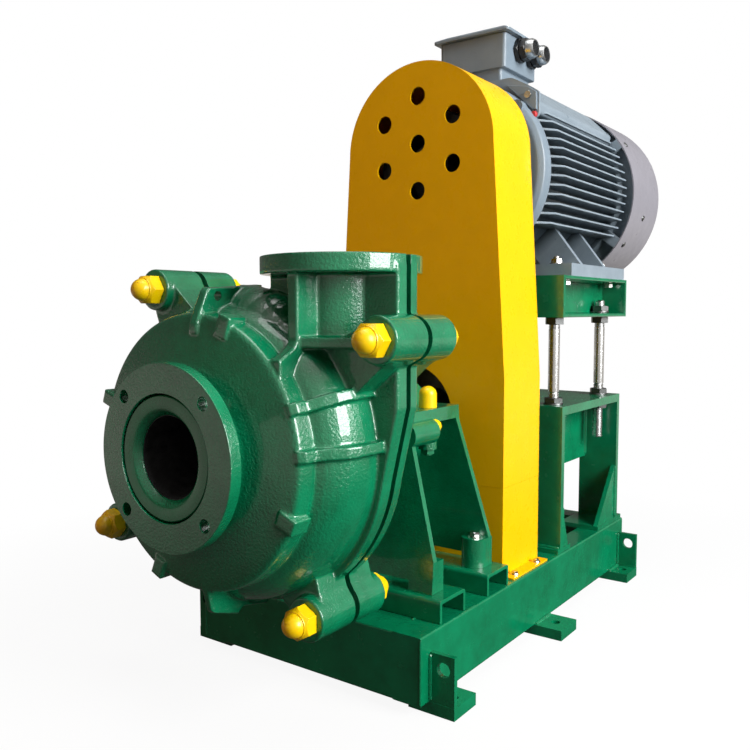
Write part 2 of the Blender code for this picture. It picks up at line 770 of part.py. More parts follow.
def build_platform():
    """A rectangle of channels, open outward at the sides, that carries the motor."""
    low, high = PLATFORM_BOTTOM, PLATFORM_TOP
    rear = PLATFORM_FRONT + PLATFORM_DEPTH
    frame = None
    for side in (-1, 1):
        outer, inner = side * STAND_HALF_WIDTH, side * (STAND_HALF_WIDTH - PLATFORM_FLANGE)
        web = inner + side * PLATFORM_WALL
        points = [
            (inner, low),
            (outer, low),
            (outer, low + PLATFORM_WALL),
            (web, low + PLATFORM_WALL),
            (web, high - PLATFORM_WALL),
            (outer, high - PLATFORM_WALL),
            (outer, high),
            (inner, high),
        ]
        rail = sheet(points, PLATFORM_FRONT, rear)
        frame = rail if frame is None else join(frame, rail)
    reach = STAND_HALF_WIDTH - PLATFORM_FLANGE + PLATFORM_WALL / 2
    for start in (PLATFORM_FRONT, rear - PLATFORM_WALL):
        half = STAND_HALF_WIDTH if start == PLATFORM_FRONT else reach
        end_plate = block((-half, start, low), (half, start + PLATFORM_WALL, high))
        join(frame, end_plate)
    for x in (-ROD_X, ROD_X):
        for station in (ROD_FRONT_Y, ROD_REAR_Y):
            hole_radius = ROD_RADIUS + ROD_CLEARANCE
            top = low + PLATFORM_WALL + CUT_OVERRUN
            cut(frame, bar((x, station, low - CUT_OVERRUN), (x, station, top), hole_radius))
    finish(frame, "motor_platform", ENAMEL)


def build_rods():
    """Threaded rods clamped to the platform's lower flange by a nut above and below it."""
    tail = STAND_TOP - ROD_TAIL
    for side, side_name in ((-1, "left"), (1, "right")):
        for station, end_name in ((ROD_FRONT_Y, "front"), (ROD_REAR_Y, "rear")):
            x = side * ROD_X
            upper = PLATFORM_BOTTOM + PLATFORM_WALL + FIT_GAP
            rod = bar((x, station, tail), (x, station, upper + NUT_HEIGHT + ROD_TOP_STICKOUT), ROD_RADIUS)
            join(rod, nut(x, station, upper), nut(x, station, PLATFORM_BOTTOM - FIT_GAP - NUT_HEIGHT))
            finish(rod, f"jacking_rod_{end_name}_{side_name}", ZINC)


def volute_share(angle):
    """How far round from the cutwater a place is, from 0 to 1, easing back over the branch."""
    turn = ((angle - CUTWATER_ANGLE) % (2 * math.pi)) / (2 * math.pi)
    rising_part = 0.84
    if turn <= rising_part:
        return turn / rising_part
    return (1.0 - turn) / (1.0 - rising_part)


def spiral(piece, start_radius, full_radius):
    """Moves a casing's rim outward round the shaft, so that it grows from the cutwater to the branch."""
    for vertex in piece.data.vertices:
        x, z = vertex.co.x, vertex.co.z - SHAFT_HEIGHT
        radius = math.hypot(x, z)
        if radius <= start_radius:
            continue
        weight = min((radius - start_radius) / (full_radius - start_radius), 1.0)
        angle = math.atan2(z, x)
        grown = radius - VOLUTE_GROWTH * weight * (1.0 - volute_share(angle))
        vertex.co.x, vertex.co.z = grown * math.cos(angle), SHAFT_HEIGHT + grown * math.sin(angle)
    return piece


def casing_outline(margin=0.0):
    """The rim of the split casing: the spiral, running up into the plate of the branch."""
    right = BRANCH_X + BRANCH_PLATE_HALF_WIDTH - margin
    left = BRANCH_X - BRANCH_PLATE_HALF_WIDTH + margin
    top = BRANCH_TOP - BRANCH_FLANGE_THICKNESS / 2
    steps = CASING_SIDES * 5 // 6
    start, end = math.radians(-8), math.radians(-278)
    points = []
    for step in range(steps + 1):
        angle = start + (end - start) * step / steps
        radius = CASING_FLANGE_RADIUS - margin - VOLUTE_GROWTH * (1.0 - volute_share(angle))
        points.append(around_shaft(radius, angle))
    points += [(left, SHAFT_HEIGHT + CASING_FLANGE_RADIUS * 0.94 - margin), (left, top), (right, top)]
    points.append((right, SHAFT_HEIGHT + CASING_FLANGE_RADIUS * 0.28))
    return points


def lug_place(index):
    """The x and z of a casing lug."""
    return around_shaft(LUG_CIRCLE * LUG_REACH_SHARES[index], LUG_ANGLES[index])


def lug_arm(index, start, end):
    """The web that runs from a lug down into the casing, wider at the casing."""
    angle = LUG_ANGLES[index]
    far = LUG_CIRCLE * LUG_REACH_SHARES[index]
    near = BULGE_RADIUS * 0.86
    tip, root = LUG_RADIUS * 0.96, LUG_RADIUS * 1.55
    cos, sin = math.cos(angle), math.sin(angle)
    corners = ((near, -root), (far, -tip), (far, tip), (near, root))
    points = [(u * cos - v * sin, SHAFT_HEIGHT + u * sin + v * cos) for u, v in corners]
    return sheet(points, start, end)


def bolt_hole(index):
    """A cutter for a casing bolt, right through both halves."""
    x, z = lug_place(index)
    radius = CASING_BOLT_RADIUS + CASING_BOLT_CLEARANCE
    return bar((x, LUG_FRONT - CUT_OVERRUN, z), (x, LUG_REAR + CUT_OVERRUN, z), radius)


def half_disc(radius, low, high, start, end, sides=ROUND_SIDES):
    """The part of an upright disc on the branch axis that lies between two stations."""
    disc = bar((BRANCH_X, SPLIT_MIDDLE, low), (BRANCH_X, SPLIT_MIDDLE, high), radius, sides)
    reach = radius + CUT_OVERRUN
    keep = block(
        (BRANCH_X - reach, start, low - CUT_OVERRUN), (BRANCH_X + reach, end, high + CUT_OVERRUN)
    )
    return common(disc, keep)


def branch_half(front):
    """One half of the discharge flange and neck, cut at the casing's split."""
    reach = BRANCH_FLANGE_RADIUS + CUT_OVERRUN
    if front:
        start, end = SPLIT_MIDDLE - reach, SPLIT_FRONT
    else:
        start, end = SPLIT_REAR, SPLIT_MIDDLE + reach
    low = BRANCH_TOP - BRANCH_FLANGE_THICKNESS
    flange = half_disc(BRANCH_FLANGE_RADIUS, low, BRANCH_TOP, start, end)
    neck = half_disc(BRANCH_NECK_RADIUS, SHAFT_HEIGHT + RING_RADIUS * 0.55, low + SINK, start, end, BRANCH_SIDES)
    branch = join(flange, neck)
    rib_low = low - BRANCH_SHELF_DROP
    side = -1 if front else 1
    seat = SPLIT_MIDDLE + side * CASING_GAP / 2
    deep = sorted((seat, SPLIT_MIDDLE + side * BRANCH_RIB_DEPTH))
    shallow = sorted((seat, SPLIT_MIDDLE + side * BRANCH_PLINTH_DEPTH))
    rib_left = BRANCH_X - BRANCH_RIB_SPREAD
    shelf_right = lug_place(0)[0] - LUG_RADIUS / 2
    rib = block((rib_left, deep[0], rib_low), (rib_left + BRANCH_RIB_WIDTH, deep[1], low + SINK))
    shelf = block((rib_left, deep[0], rib_low - BRANCH_SHELF_THICKNESS), (shelf_right, deep[1], rib_low + SINK))
    plinth = block(
        (rib_left + BRANCH_RIB_WIDTH / 2, shallow[0], rib_low),
        (shelf_right, shallow[1], rib_low + BRANCH_PLINTH_HEIGHT),
    )
    return join(branch, rib, shelf, plinth)


def branch_holes():
    """Cutters for the discharge flange's bolts, off the split line."""
    low, high = BRANCH_TOP - BRANCH_FLANGE_THICKNESS - CUT_OVERRUN, BRANCH_TOP + CUT_OVERRUN
    holes = []
    for angle in (math.radians(a) for a in (45, 135, 225, 315)):
        x = BRANCH_X + BRANCH_HOLE_CIRCLE * math.cos(angle)
        station = SPLIT_MIDDLE + BRANCH_HOLE_CIRCLE * math.sin(angle)
        holes.append(bar((x, station, low), (x, station, high), BRANCH_HOLE_RADIUS))
    return holes


def casing_cavity(margin):
    """The hollow that the liners fill, larger than they are by a margin."""
    front = RING_STATION + CASING_WALL - margin
    outer = BULGE_RADIUS - CASING_WALL + margin
    hollow = turned(
        [
            (front, THROAT_RADIUS + LINER_WALL / 2 + margin),
            (front + RING_STEP, RING_RADIUS - CASING_WALL * 0.6),
            (BULGE_STATION - RING_STEP, outer),
            (SPLIT_REAR + CUT_OVERRUN, outer),
        ],
        middle=(0.0, 0.0, SHAFT_HEIGHT),
        sides=CASING_SIDES,
    )
    return spiral(hollow, VOLUTE_START_RADIUS, BULGE_RADIUS)


def build_front_casing():
    """The cover half: suction flange, hub, volute shell, ribs, pads, lugs and half the branch."""
    shell = turned(
        [
            (0.0, SUCTION_FLANGE_RADIUS),
            (SUCTION_FLANGE_THICKNESS, SUCTION_FLANGE_RADIUS),
            (SUCTION_FLANGE_THICKNESS, HUB_RADIUS),
            (RING_STATION * 0.62, HUB_RADIUS + HUB_RADIUS * 0.10),
            (RING_STATION * 0.95, HUB_END_RADIUS),
            (RING_STATION, RING_RADIUS),
            (RING_STATION + RING_STEP, RING_RADIUS + SINK),
            (RING_STATION + RING_STEP * 1.6, RING_RADIUS * 1.06),
            (RING_STATION + RING_STEP * 2.8, RING_RADIUS * 1.14),
            (BULGE_STATION, BULGE_RADIUS),
            (SPLIT_FRONT, BULGE_RADIUS - SINK),
        ],
        middle=(0.0, 0.0, SHAFT_HEIGHT),
        sides=CASING_SIDES,
    )
    spiral(shell, RING_RADIUS, BULGE_RADIUS)
    join(shell, sheet(casing_outline(), CASING_FLANGE_FRONT, SPLIT_FRONT), branch_half(True))
    for index in range(len(LUG_ANGLES)):
        x, z = lug_place(index)
        boss = bar((x, LUG_FRONT, z), (x, SPLIT_FRONT, z), LUG_RADIUS, LUG_SIDES)
        join(shell, boss, lug_arm(index, LUG_FRONT + LUG_ARM_BACKSET, SPLIT_FRONT - SINK))
    for angle in RIB_ANGLES:
        start = RING_STATION + RING_STEP
        crest = BULGE_RADIUS + RIB_RISE * 0.6
        join(shell, shaft_block(angle, RING_RADIUS * 0.9, crest, RIB_WIDTH, start, SPLIT_FRONT - SINK))
    for angle in PAD_ANGLES:
        inner, outer = RING_RADIUS - JACK_PAD_SIZE, RING_RADIUS + JACK_PAD_SIZE * 0.4
        start = RING_STATION - SINK * 2
        join(shell, shaft_block(angle, inner, outer, JACK_PAD_SIZE, start, start + JACK_PAD_SIZE))
    eye_inner = RING_RADIUS - JACK_PAD_SIZE
    eye_end = CASING_FLANGE_FRONT + SINK
    eye = shaft_block(EYE_ANGLE, eye_inner, RING_RADIUS + EYE_LENGTH, EYE_WIDTH, RING_STATION, eye_end)
    eye_x, eye_z = around_shaft(RING_RADIUS + EYE_LENGTH - EYE_HOLE_RADIUS * 2, EYE_ANGLE)
    eye_station = RING_STATION + EYE_HOLE_RADIUS * 2.6
    join(shell, eye)
    eye_start, eye_far = (eye_x - EYE_WIDTH, eye_station, eye_z), (eye_x + EYE_WIDTH, eye_station, eye_z)
    cut(shell, bar(eye_start, eye_far, EYE_HOLE_RADIUS))
    join(shell, shaft_block(FIN_ANGLE, RING_RADIUS * 0.9, BULGE_RADIUS, FIN_WIDTH, RING_STATION, BULGE_STATION))
    seat = [(-CUT_OVERRUN, INTAKE_SEAT_RADIUS), (RING_STATION + CASING_WALL + CUT_OVERRUN, INTAKE_SEAT_RADIUS)]
    cut(shell, casing_cavity(0.0), turned(seat, middle=(0.0, 0.0, SHAFT_HEIGHT)))
    cut(shell, branch_bore(BRANCH_BORE_RADIUS + LINER_WALL * 0.5 + LINER_GAP))
    for index in range(len(LUG_ANGLES)):
        cut(shell, bolt_hole(index))
    for quarter in range(4):
        x, z = around_shaft(SUCTION_HOLE_CIRCLE, math.radians(45 + 90 * quarter))
        deep = SUCTION_FLANGE_THICKNESS + CUT_OVERRUN * 2
        cut(shell, bar((x, -CUT_OVERRUN, z), (x, deep, z), SUCTION_HOLE_RADIUS))
    cut(shell, *branch_holes())
    finish(shell, "front_casing", ENAMEL)


def branch_bore(radius):
    """A cutter down the discharge branch into the volute."""
    low = SHAFT_HEIGHT + IMPELLER_RADIUS * 0.8
    return bar((BRANCH_X, SPLIT_MIDDLE, low), (BRANCH_X, SPLIT_MIDDLE, BRANCH_TOP + CUT_OVERRUN), radius, BRANCH_SIDES)


def build_rear_casing():
    """The frame-plate half: rim, shallow back shell, lugs and the other half of the branch."""
    back = REAR_FLANGE_BACK + REAR_SHELL_DEPTH
    shell = turned(
        [
            (SPLIT_REAR, BULGE_RADIUS - SINK),
            (REAR_FLANGE_BACK, BULGE_RADIUS - SINK),
            (REAR_FLANGE_BACK + REAR_SHELL_DEPTH * 0.35, BULGE_RADIUS * 0.92),
            (back - CASING_WALL * 0.5, REAR_SHELL_RADIUS),
            (back, REAR_SHELL_RADIUS - SINK * 2),
        ],
        middle=(0.0, 0.0, SHAFT_HEIGHT),
        sides=CASING_SIDES,
    )
    spiral(shell, REAR_SHELL_RADIUS, BULGE_RADIUS)
    join(shell, sheet(casing_outline(), SPLIT_REAR, REAR_FLANGE_BACK), branch_half(False))
    for index in range(len(LUG_ANGLES)):
        x, z = lug_place(index)
        boss = bar((x, SPLIT_REAR, z), (x, LUG_REAR, z), LUG_RADIUS, LUG_SIDES)
        join(shell, boss, lug_arm(index, SPLIT_REAR + SINK, LUG_REAR - LUG_ARM_BACKSET))
    hollow = turned(
        [
            (SPLIT_REAR - CUT_OVERRUN, BULGE_RADIUS - CASING_WALL),
            (REAR_FLANGE_BACK, BULGE_RADIUS - CASING_WALL),
            (REAR_FLANGE_BACK + BACK_LINER_THICKNESS, BULGE_RADIUS * 0.78),
            (back - CASING_WALL, STUFFING_BOX_RADIUS * 1.3),
        ],
        middle=(0.0, 0.0, SHAFT_HEIGHT),
        sides=CASING_SIDES,
    )
    spiral(hollow, VOLUTE_START_RADIUS, BULGE_RADIUS)
    seat_radius = STUFFING_BOX_RADIUS + FIT_GAP
    seat = [(SPLIT_REAR, seat_radius), (back + CUT_OVERRUN, seat_radius)]
    cut(shell, hollow, turned(seat, middle=(0.0, 0.0, SHAFT_HEIGHT)))
    cut(shell, branch_bore(BRANCH_BORE_RADIUS + LINER_WALL * 0.5 + LINER_GAP))
    for index in range(len(LUG_ANGLES)):
        cut(shell, bolt_hole(index))
    cut(shell, *branch_holes())
    finish(shell, "rear_casing", ENAMEL)


def build_casing_bolts():
    """Through bolts with a nut at each end, and the domed caps pushed over the nuts."""
    for index, name in enumerate(LUG_NAMES):
        x, z = lug_place(index)
        turn = CAP_TURNS[index]
        front, rear = LUG_FRONT - FIT_GAP, LUG_REAR + FIT_GAP
        stud = bar((x, front - CASING_BOLT_STICKOUT, z), (x, rear + CASING_BOLT_STICKOUT, z), CASING_BOLT_RADIUS)
        nut_radius = CAP_FLAT_RADIUS - CAP_WALL - FIT_GAP
        join(
            stud,
            hex_bar((x, front, z), (x, front - STUD_NUT_HEIGHT, z), nut_radius, turn),
            hex_bar((x, rear, z), (x, rear + STUD_NUT_HEIGHT, z), nut_radius, turn),
        )
        finish(stud, f"casing_bolt_{name}", ZINC)
        for end_name, station, direction in (("front", front, -1), ("rear", rear, 1)):
            finish(bolt_cap(x, z, station, direction, turn), f"bolt_cap_{end_name}_{name}", CAP_PLASTIC)


def bolt_cap(x, z, station, direction, turn):
    """A cap with a hexagonal skirt and a domed crown, open towards the lug."""
    skirt_end = station + direction * CAP_SKIRT
    skirt = hex_bar((x, station, z), (x, skirt_end, z), CAP_FLAT_RADIUS, turn)
    dome_rows = [
        (math.sin(turn) * CAP_DOME_RADIUS, math.cos(turn) * CAP_DOME_RADIUS)
        for turn in (math.radians(a) for a in (-12, 0, 35, 68))
    ]
    dome = turned(dome_rows, middle=(0.0, SET_MIDDLE_Y, 0.0), sides=SMALL_SIDES)
    if direction < 0:
        dome.data.transform(Matrix.Rotation(math.pi, 4, "Z"))
    dome.data.transform(Matrix.Translation(world(x, skirt_end, z)))
    cap = join(skirt, dome)
    inside_end = station + direction * (CASING_BOLT_STICKOUT + FIT_GAP * 4)
    nut_end = station + direction * (STUD_NUT_HEIGHT + FIT_GAP * 2)
    room_start = station - direction * CUT_OVERRUN
    nut_room = hex_bar((x, room_start, z), (x, nut_end, z), CAP_FLAT_RADIUS - CAP_WALL, turn)
    stud_room = bar((x, station, z), (x, inside_end, z), CASING_BOLT_RADIUS + FIT_GAP * 2)
    return cut(cap, nut_room, stud_room)


def build_liners():
    """The volute liner, the throatbush with the intake ring, and the back liner."""
    outer = BULGE_RADIUS - CASING_WALL - LINER_GAP
    front = RING_STATION + CASING_WALL + LINER_GAP
    tip = VOLUTE_START_RADIUS
    back = SPLIT_REAR + REAR_FLANGE_THICKNESS - LINER_GAP
    rows = [
        (front, THROAT_RADIUS + LINER_WALL / 2),
        (front + RING_STEP, RING_RADIUS - CASING_WALL * 0.6 - LINER_GAP),
        (BULGE_STATION - RING_STEP, outer),
        (back, outer),
    ]
    hollow_rows = [
        (front, THROAT_RADIUS + LINER_GAP),
        (IMPELLER_FRONT - RUNNING_CLEARANCE * 2, THROAT_RADIUS + LINER_GAP),
        (IMPELLER_FRONT, tip),
        (BULGE_STATION - RING_STEP, outer - LINER_WALL),
        (back - LINER_WALL, outer - LINER_WALL),
        (back - LINER_WALL / 2, tip + LINER_WALL),
        (back, tip + LINER_WALL),
    ]
    liner = turned(rows, hollow_rows, middle=(0.0, 0.0, SHAFT_HEIGHT), sides=ROUND_SIDES)
    spiral(liner, VOLUTE_START_RADIUS, BULGE_RADIUS)
    top = BRANCH_TOP - LINER_GAP
    low = SHAFT_HEIGHT + outer * 0.72
    pipe_radius = BRANCH_BORE_RADIUS + LINER_WALL * 0.5
    join(liner, bar((BRANCH_X, SPLIT_MIDDLE, low), (BRANCH_X, SPLIT_MIDDLE, top), pipe_radius, BRANCH_SIDES))
    bore_low, bore_top = SHAFT_HEIGHT + outer * 0.55, top + CUT_OVERRUN
    bore = bar(
        (BRANCH_X, SPLIT_MIDDLE, bore_low), (BRANCH_X, SPLIT_MIDDLE, bore_top), BRANCH_BORE_RADIUS, BRANCH_SIDES
    )
    finish(cut(liner, bore), "volute_liner", RUBBER_MATERIAL)

    bush_back = IMPELLER_FRONT - RUNNING_CLEARANCE
    bush_outer = [
        (SINK, INTAKE_RADIUS - SINK / 2),
        (SINK * 1.5, INTAKE_RADIUS),
        (front, INTAKE_RADIUS),
        (front, THROAT_RADIUS),
        (bush_back, THROAT_RADIUS),
    ]
    bush_inner = [
        (SINK, BORE_RADIUS + BORE_CHAMFER),
        (SINK + BORE_CHAMFER, BORE_RADIUS),
        (bush_back, BORE_RADIUS),
    ]
    bush = turned(bush_outer, bush_inner, middle=(0.0, 0.0, SHAFT_HEIGHT))
    finish(bush, "throatbush", ENAMEL)

    back_start = IMPELLER_BACK + RUNNING_CLEARANCE
    plate_outer = tip + LINER_WALL - LINER_GAP
    plate_bore = SLEEVE_RADIUS + LINER_GAP * 2
    plate = turned(
        [(back_start, plate_outer - LINER_GAP), (back_start + BACK_LINER_THICKNESS, plate_outer - LINER_GAP)],
        [(back_start, plate_bore), (back_start + BACK_LINER_THICKNESS, plate_bore)],
        middle=(0.0, 0.0, SHAFT_HEIGHT),
    )
    finish(plate, "back_liner", IRON)


def impeller_vane(start_angle):
    """A curved vane between the shrouds, swept back from the eye to the rim."""
    steps = 5
    inner, outer = HUB_OF_IMPELLER_RADIUS * 0.72, IMPELLER_RADIUS - SINK
    side_a, side_b = [], []
    for step in range(steps + 1):
        share = step / steps
        radius = inner + (outer - inner) * share
        angle = start_angle + VANE_SWEEP * share
        half = VANE_THICKNESS / 2 / radius
        side_a.append(around_shaft(radius, angle + half))
        side_b.append(around_shaft(radius, angle - half))
    start, end = IMPELLER_FRONT + SHROUD_THICKNESS / 2, IMPELLER_BACK - SHROUD_THICKNESS / 2
    return sheet(side_a + side_b[::-1], start, end)


def build_impeller():
    """A closed impeller: two shrouds, curved vanes and a threaded hub."""
    middle = (0.0, 0.0, SHAFT_HEIGHT)
    back_face = IMPELLER_BACK - SHROUD_THICKNESS
    hub_front = IMPELLER_FRONT + (IMPELLER_BACK - IMPELLER_FRONT) * 0.45
    back = turned(
        [
            (hub_front, HUB_OF_IMPELLER_RADIUS * 0.6),
            (hub_front + SHROUD_THICKNESS, HUB_OF_IMPELLER_RADIUS),
            (back_face, HUB_OF_IMPELLER_RADIUS * 1.15),
            (back_face, IMPELLER_RADIUS),
            (IMPELLER_BACK, IMPELLER_RADIUS),
        ],
        middle=middle,
    )
    front_rows = [(IMPELLER_FRONT, IMPELLER_RADIUS), (IMPELLER_FRONT + SHROUD_THICKNESS, IMPELLER_RADIUS)]
    eye_rows = [(IMPELLER_FRONT, IMPELLER_EYE_RADIUS), (IMPELLER_FRONT + SHROUD_THICKNESS, IMPELLER_EYE_RADIUS)]
    join(back, turned(front_rows, eye_rows, middle=middle))
    for vane in range(VANE_COUNT):
        join(back, impeller_vane(2 * math.pi * vane / VANE_COUNT))
    nose = SHAFT_NOSE_RADIUS + FIT_GAP
    socket = [(hub_front + SHROUD_THICKNESS * 1.4, nose), (IMPELLER_BACK + CUT_OVERRUN, nose)]
    cut(back, turned(socket, middle=middle, sides=HIDDEN_SIDES))
    finish(back, "impeller", IRON, pivot=middle)


def build_shaft_line():
    """The shaft, its sleeve, the stuffing box, packing and gland, and the bearing cartridge."""
    middle = (0.0, 0.0, SHAFT_HEIGHT)
    hub_front = IMPELLER_FRONT + (IMPELLER_BACK - IMPELLER_FRONT) * 0.45
    nose_start = hub_front + SHROUD_THICKNESS * 1.4 + FIT_GAP
    pulley_width = GROOVE_PITCH * (GROOVE_COUNT - 1) + PULLEY_MARGIN * 2
    tail_end = PULLEY_FRONT + pulley_width + SINK
    rear_cover_end = HOUSING_REAR + END_COVER_THICKNESS
    sleeve_start = IMPELLER_BACK + FIT_GAP
    shaft = turned(
        [
            (nose_start, SHAFT_NOSE_RADIUS),
            (SLEEVE_END, SHAFT_NOSE_RADIUS),
            (SLEEVE_END, SHAFT_RADIUS),
            (rear_cover_end + SINK * 4, SHAFT_RADIUS),
            (rear_cover_end + SINK * 4, SHAFT_TAIL_RADIUS),
            (tail_end, SHAFT_TAIL_RADIUS),
        ],
        middle=middle,
        sides=HIDDEN_SIDES,
    )
    finish(shaft, "pump_shaft", ZINC, pivot=middle)
    sleeve = turned(
        [(sleeve_start, SLEEVE_RADIUS), (SLEEVE_END - FIT_GAP, SLEEVE_RADIUS)],
        [(sleeve_start, SHAFT_NOSE_RADIUS + FIT_GAP), (SLEEVE_END - FIT_GAP, SHAFT_NOSE_RADIUS + FIT_GAP)],
        middle=middle,
        sides=HIDDEN_SIDES,
    )
    finish(sleeve, "shaft_sleeve", ZINC, pivot=middle)

    box_start = IMPELLER_BACK + RUNNING_CLEARANCE + BACK_LINER_THICKNESS + FIT_GAP
    floor = box_start + CASING_WALL
    box = turned(
        [(box_start, STUFFING_BOX_RADIUS), (STUFFING_BOX_END, STUFFING_BOX_RADIUS)],
        [
            (box_start, SLEEVE_RADIUS + LINER_GAP),
            (floor, SLEEVE_RADIUS + LINER_GAP),
            (floor, STUFFING_BOX_BORE),
            (STUFFING_BOX_END, STUFFING_BOX_BORE),
        ],
        middle=middle,
    )
    finish(box, "stuffing_box", ENAMEL)
    packing_inner = running_bore(SLEEVE_RADIUS, HIDDEN_SIDES, BEARING_OUTER_CLEARANCE / 4)
    packing_outer = STUFFING_BOX_BORE - FIT_GAP
    packing_start = floor + FIT_GAP
    packing_end = packing_start + PACKING_LENGTH
    packing = turned(
        [(packing_start, packing_outer), (packing_end, packing_outer)],
        [(packing_start, packing_inner), (packing_end, packing_inner)],
        middle=middle,
        sides=HIDDEN_SIDES,
    )
    finish(packing, "gland_packing", RUBBER_MATERIAL)
    nose_at = packing_end + FIT_GAP + GLAND_TRAVEL * 0.1
    gland_back = STUFFING_BOX_END + GLAND_TRAVEL + FIT_GAP + GLAND_FLANGE_THICKNESS
    flange_start = gland_back - GLAND_FLANGE_THICKNESS
    gland_bore = SLEEVE_RADIUS + LINER_GAP
    gland = turned(
        [
            (nose_at, STUFFING_BOX_BORE - FIT_GAP * 2),
            (flange_start, STUFFING_BOX_BORE - FIT_GAP * 2),
            (flange_start, GLAND_FLANGE_RADIUS),
            (gland_back, GLAND_FLANGE_RADIUS),
        ],
        [(nose_at, gland_bore), (gland_back, gland_bore)],
        middle=middle,
        sides=HIDDEN_SIDES,
    )
    finish(gland, "gland", BRONZE)

    housing_inner = HOUSING_RADIUS - HOUSING_WALL
    lip = HOUSING_WALL / 2
    housing = turned(
        [
            (HOUSING_FRONT, HOUSING_RADIUS),
            (HOUSING_REAR, HOUSING_RADIUS),
        ],
        [(HOUSING_FRONT, housing_inner), (HOUSING_REAR, housing_inner)],
        middle=middle,
    )
    finish(housing, "bearing_housing", ENAMEL)
    for name, start in (
        ("front_bearing", HOUSING_FRONT + lip),
        ("rear_bearing", HOUSING_REAR - lip - BEARING_WIDTH),
    ):
        outer = housing_inner - BEARING_OUTER_CLEARANCE
        inner = running_bore(SHAFT_RADIUS, HIDDEN_SIDES, BEARING_OUTER_CLEARANCE / 4)
        waist = (outer + inner) / 2
        groove = BEARING_WIDTH * 0.12
        bearing = turned(
            [(start, outer), (start + BEARING_WIDTH, outer)],
            [(start, waist), (start + groove, waist), (start + groove, inner), (start + BEARING_WIDTH, inner)],
            middle=middle,
            sides=HIDDEN_SIDES,
        )
        finish(bearing, name, ZINC)
    cover_bore = SHAFT_RADIUS + LINER_GAP
    for name, start, end in (
        ("front_end_cover", HOUSING_FRONT - FIT_GAP - END_COVER_THICKNESS, HOUSING_FRONT - FIT_GAP),
        ("rear_end_cover", HOUSING_REAR + FIT_GAP, HOUSING_REAR + FIT_GAP + END_COVER_THICKNESS),
    ):
        outward = start if name.startswith("front") else end
        rows = [(start, END_COVER_RADIUS), (end, END_COVER_RADIUS)]
        if outward == start:
            rows = [(start, END_COVER_RADIUS * 0.8), (start + SINK * 2, END_COVER_RADIUS), (end, END_COVER_RADIUS)]
        else:
            rows = [(start, END_COVER_RADIUS), (end - SINK * 2, END_COVER_RADIUS), (end, END_COVER_RADIUS * 0.8)]
        cover = turned(rows, [(start, cover_bore), (end, cover_bore)], middle=middle)
        finish(cover, name, ENAMEL)


def leaned(piece, lean):
    """Leans a wall, so that its foot stands further out than its top."""
    drop = FRAME_TOP - SUPPORT_TOP
    for vertex in piece.data.vertices:
        vertex.co.y += lean * (FRAME_TOP - vertex.co.z) / drop
    return piece


def pump_frame_wall(station, lean):
    """One end wall of the pump frame, wider at its feet."""
    low = SUPPORT_TOP + FIT_GAP
    half = FRAME_FOOT_HALF_WIDTH
    right = [
        (half - FOOT_LENGTH, low),
        (half, low),
        (half, low + FOOT_HEIGHT),
        (FRAME_TOP_HALF_WIDTH, FRAME_TOP - FRAME_LEDGE_THICKNESS),
        (FRAME_TOP_HALF_WIDTH, FRAME_TOP),
    ]
    left = [(-x, z) for x, z in reversed(right)]
    arch = [(FOOT_LENGTH - half, low + FOOT_WEB_RISE), (half - FOOT_LENGTH, low + FOOT_WEB_RISE)]
    wall = sheet(right + left + arch, station - FRAME_WALL / 2, station + FRAME_WALL / 2)
    return leaned(wall, lean)


def frame_feet(side):
    """The front foot, a plain block, and the rear foot with its rounded boss, each with its bolt's head."""
    low = SUPPORT_TOP + FIT_GAP
    high = low + FOOT_HEIGHT
    middle_x = side * (FRAME_FOOT_HALF_WIDTH - FOOT_LENGTH / 2)
    edges = sorted((side * FRAME_FOOT_HALF_WIDTH, side * (FRAME_FOOT_HALF_WIDTH - FOOT_LENGTH)))
    front_face = FRAME_FRONT - FRAME_LEAN - FRAME_WALL / 2
    rear_face = FRAME_REAR + FRAME_LEAN + FRAME_WALL / 2
    boss_middle = rear_face - FOOT_LENGTH / 2
    front_foot = block((edges[0], front_face, low), (edges[1], front_face + FOOT_WIDTH, high))
    rear_foot = block((edges[0], boss_middle, low), (edges[1], rear_face, high))
    join(rear_foot, bar((middle_x, boss_middle, low), (middle_x, boss_middle, high), FOOT_LENGTH / 2, LUG_SIDES))
    front_bolt = front_face + FRAME_WALL + (FOOT_WIDTH - FRAME_WALL) / 2
    heads = []
    for station in (front_bolt, boss_middle):
        top = high + NUT_HEIGHT * 0.6
        heads.append(hex_bar((middle_x, station, high - SINK), (middle_x, station, top), NUT_FLAT_RADIUS * 0.62))
    return [front_foot, rear_foot] + heads


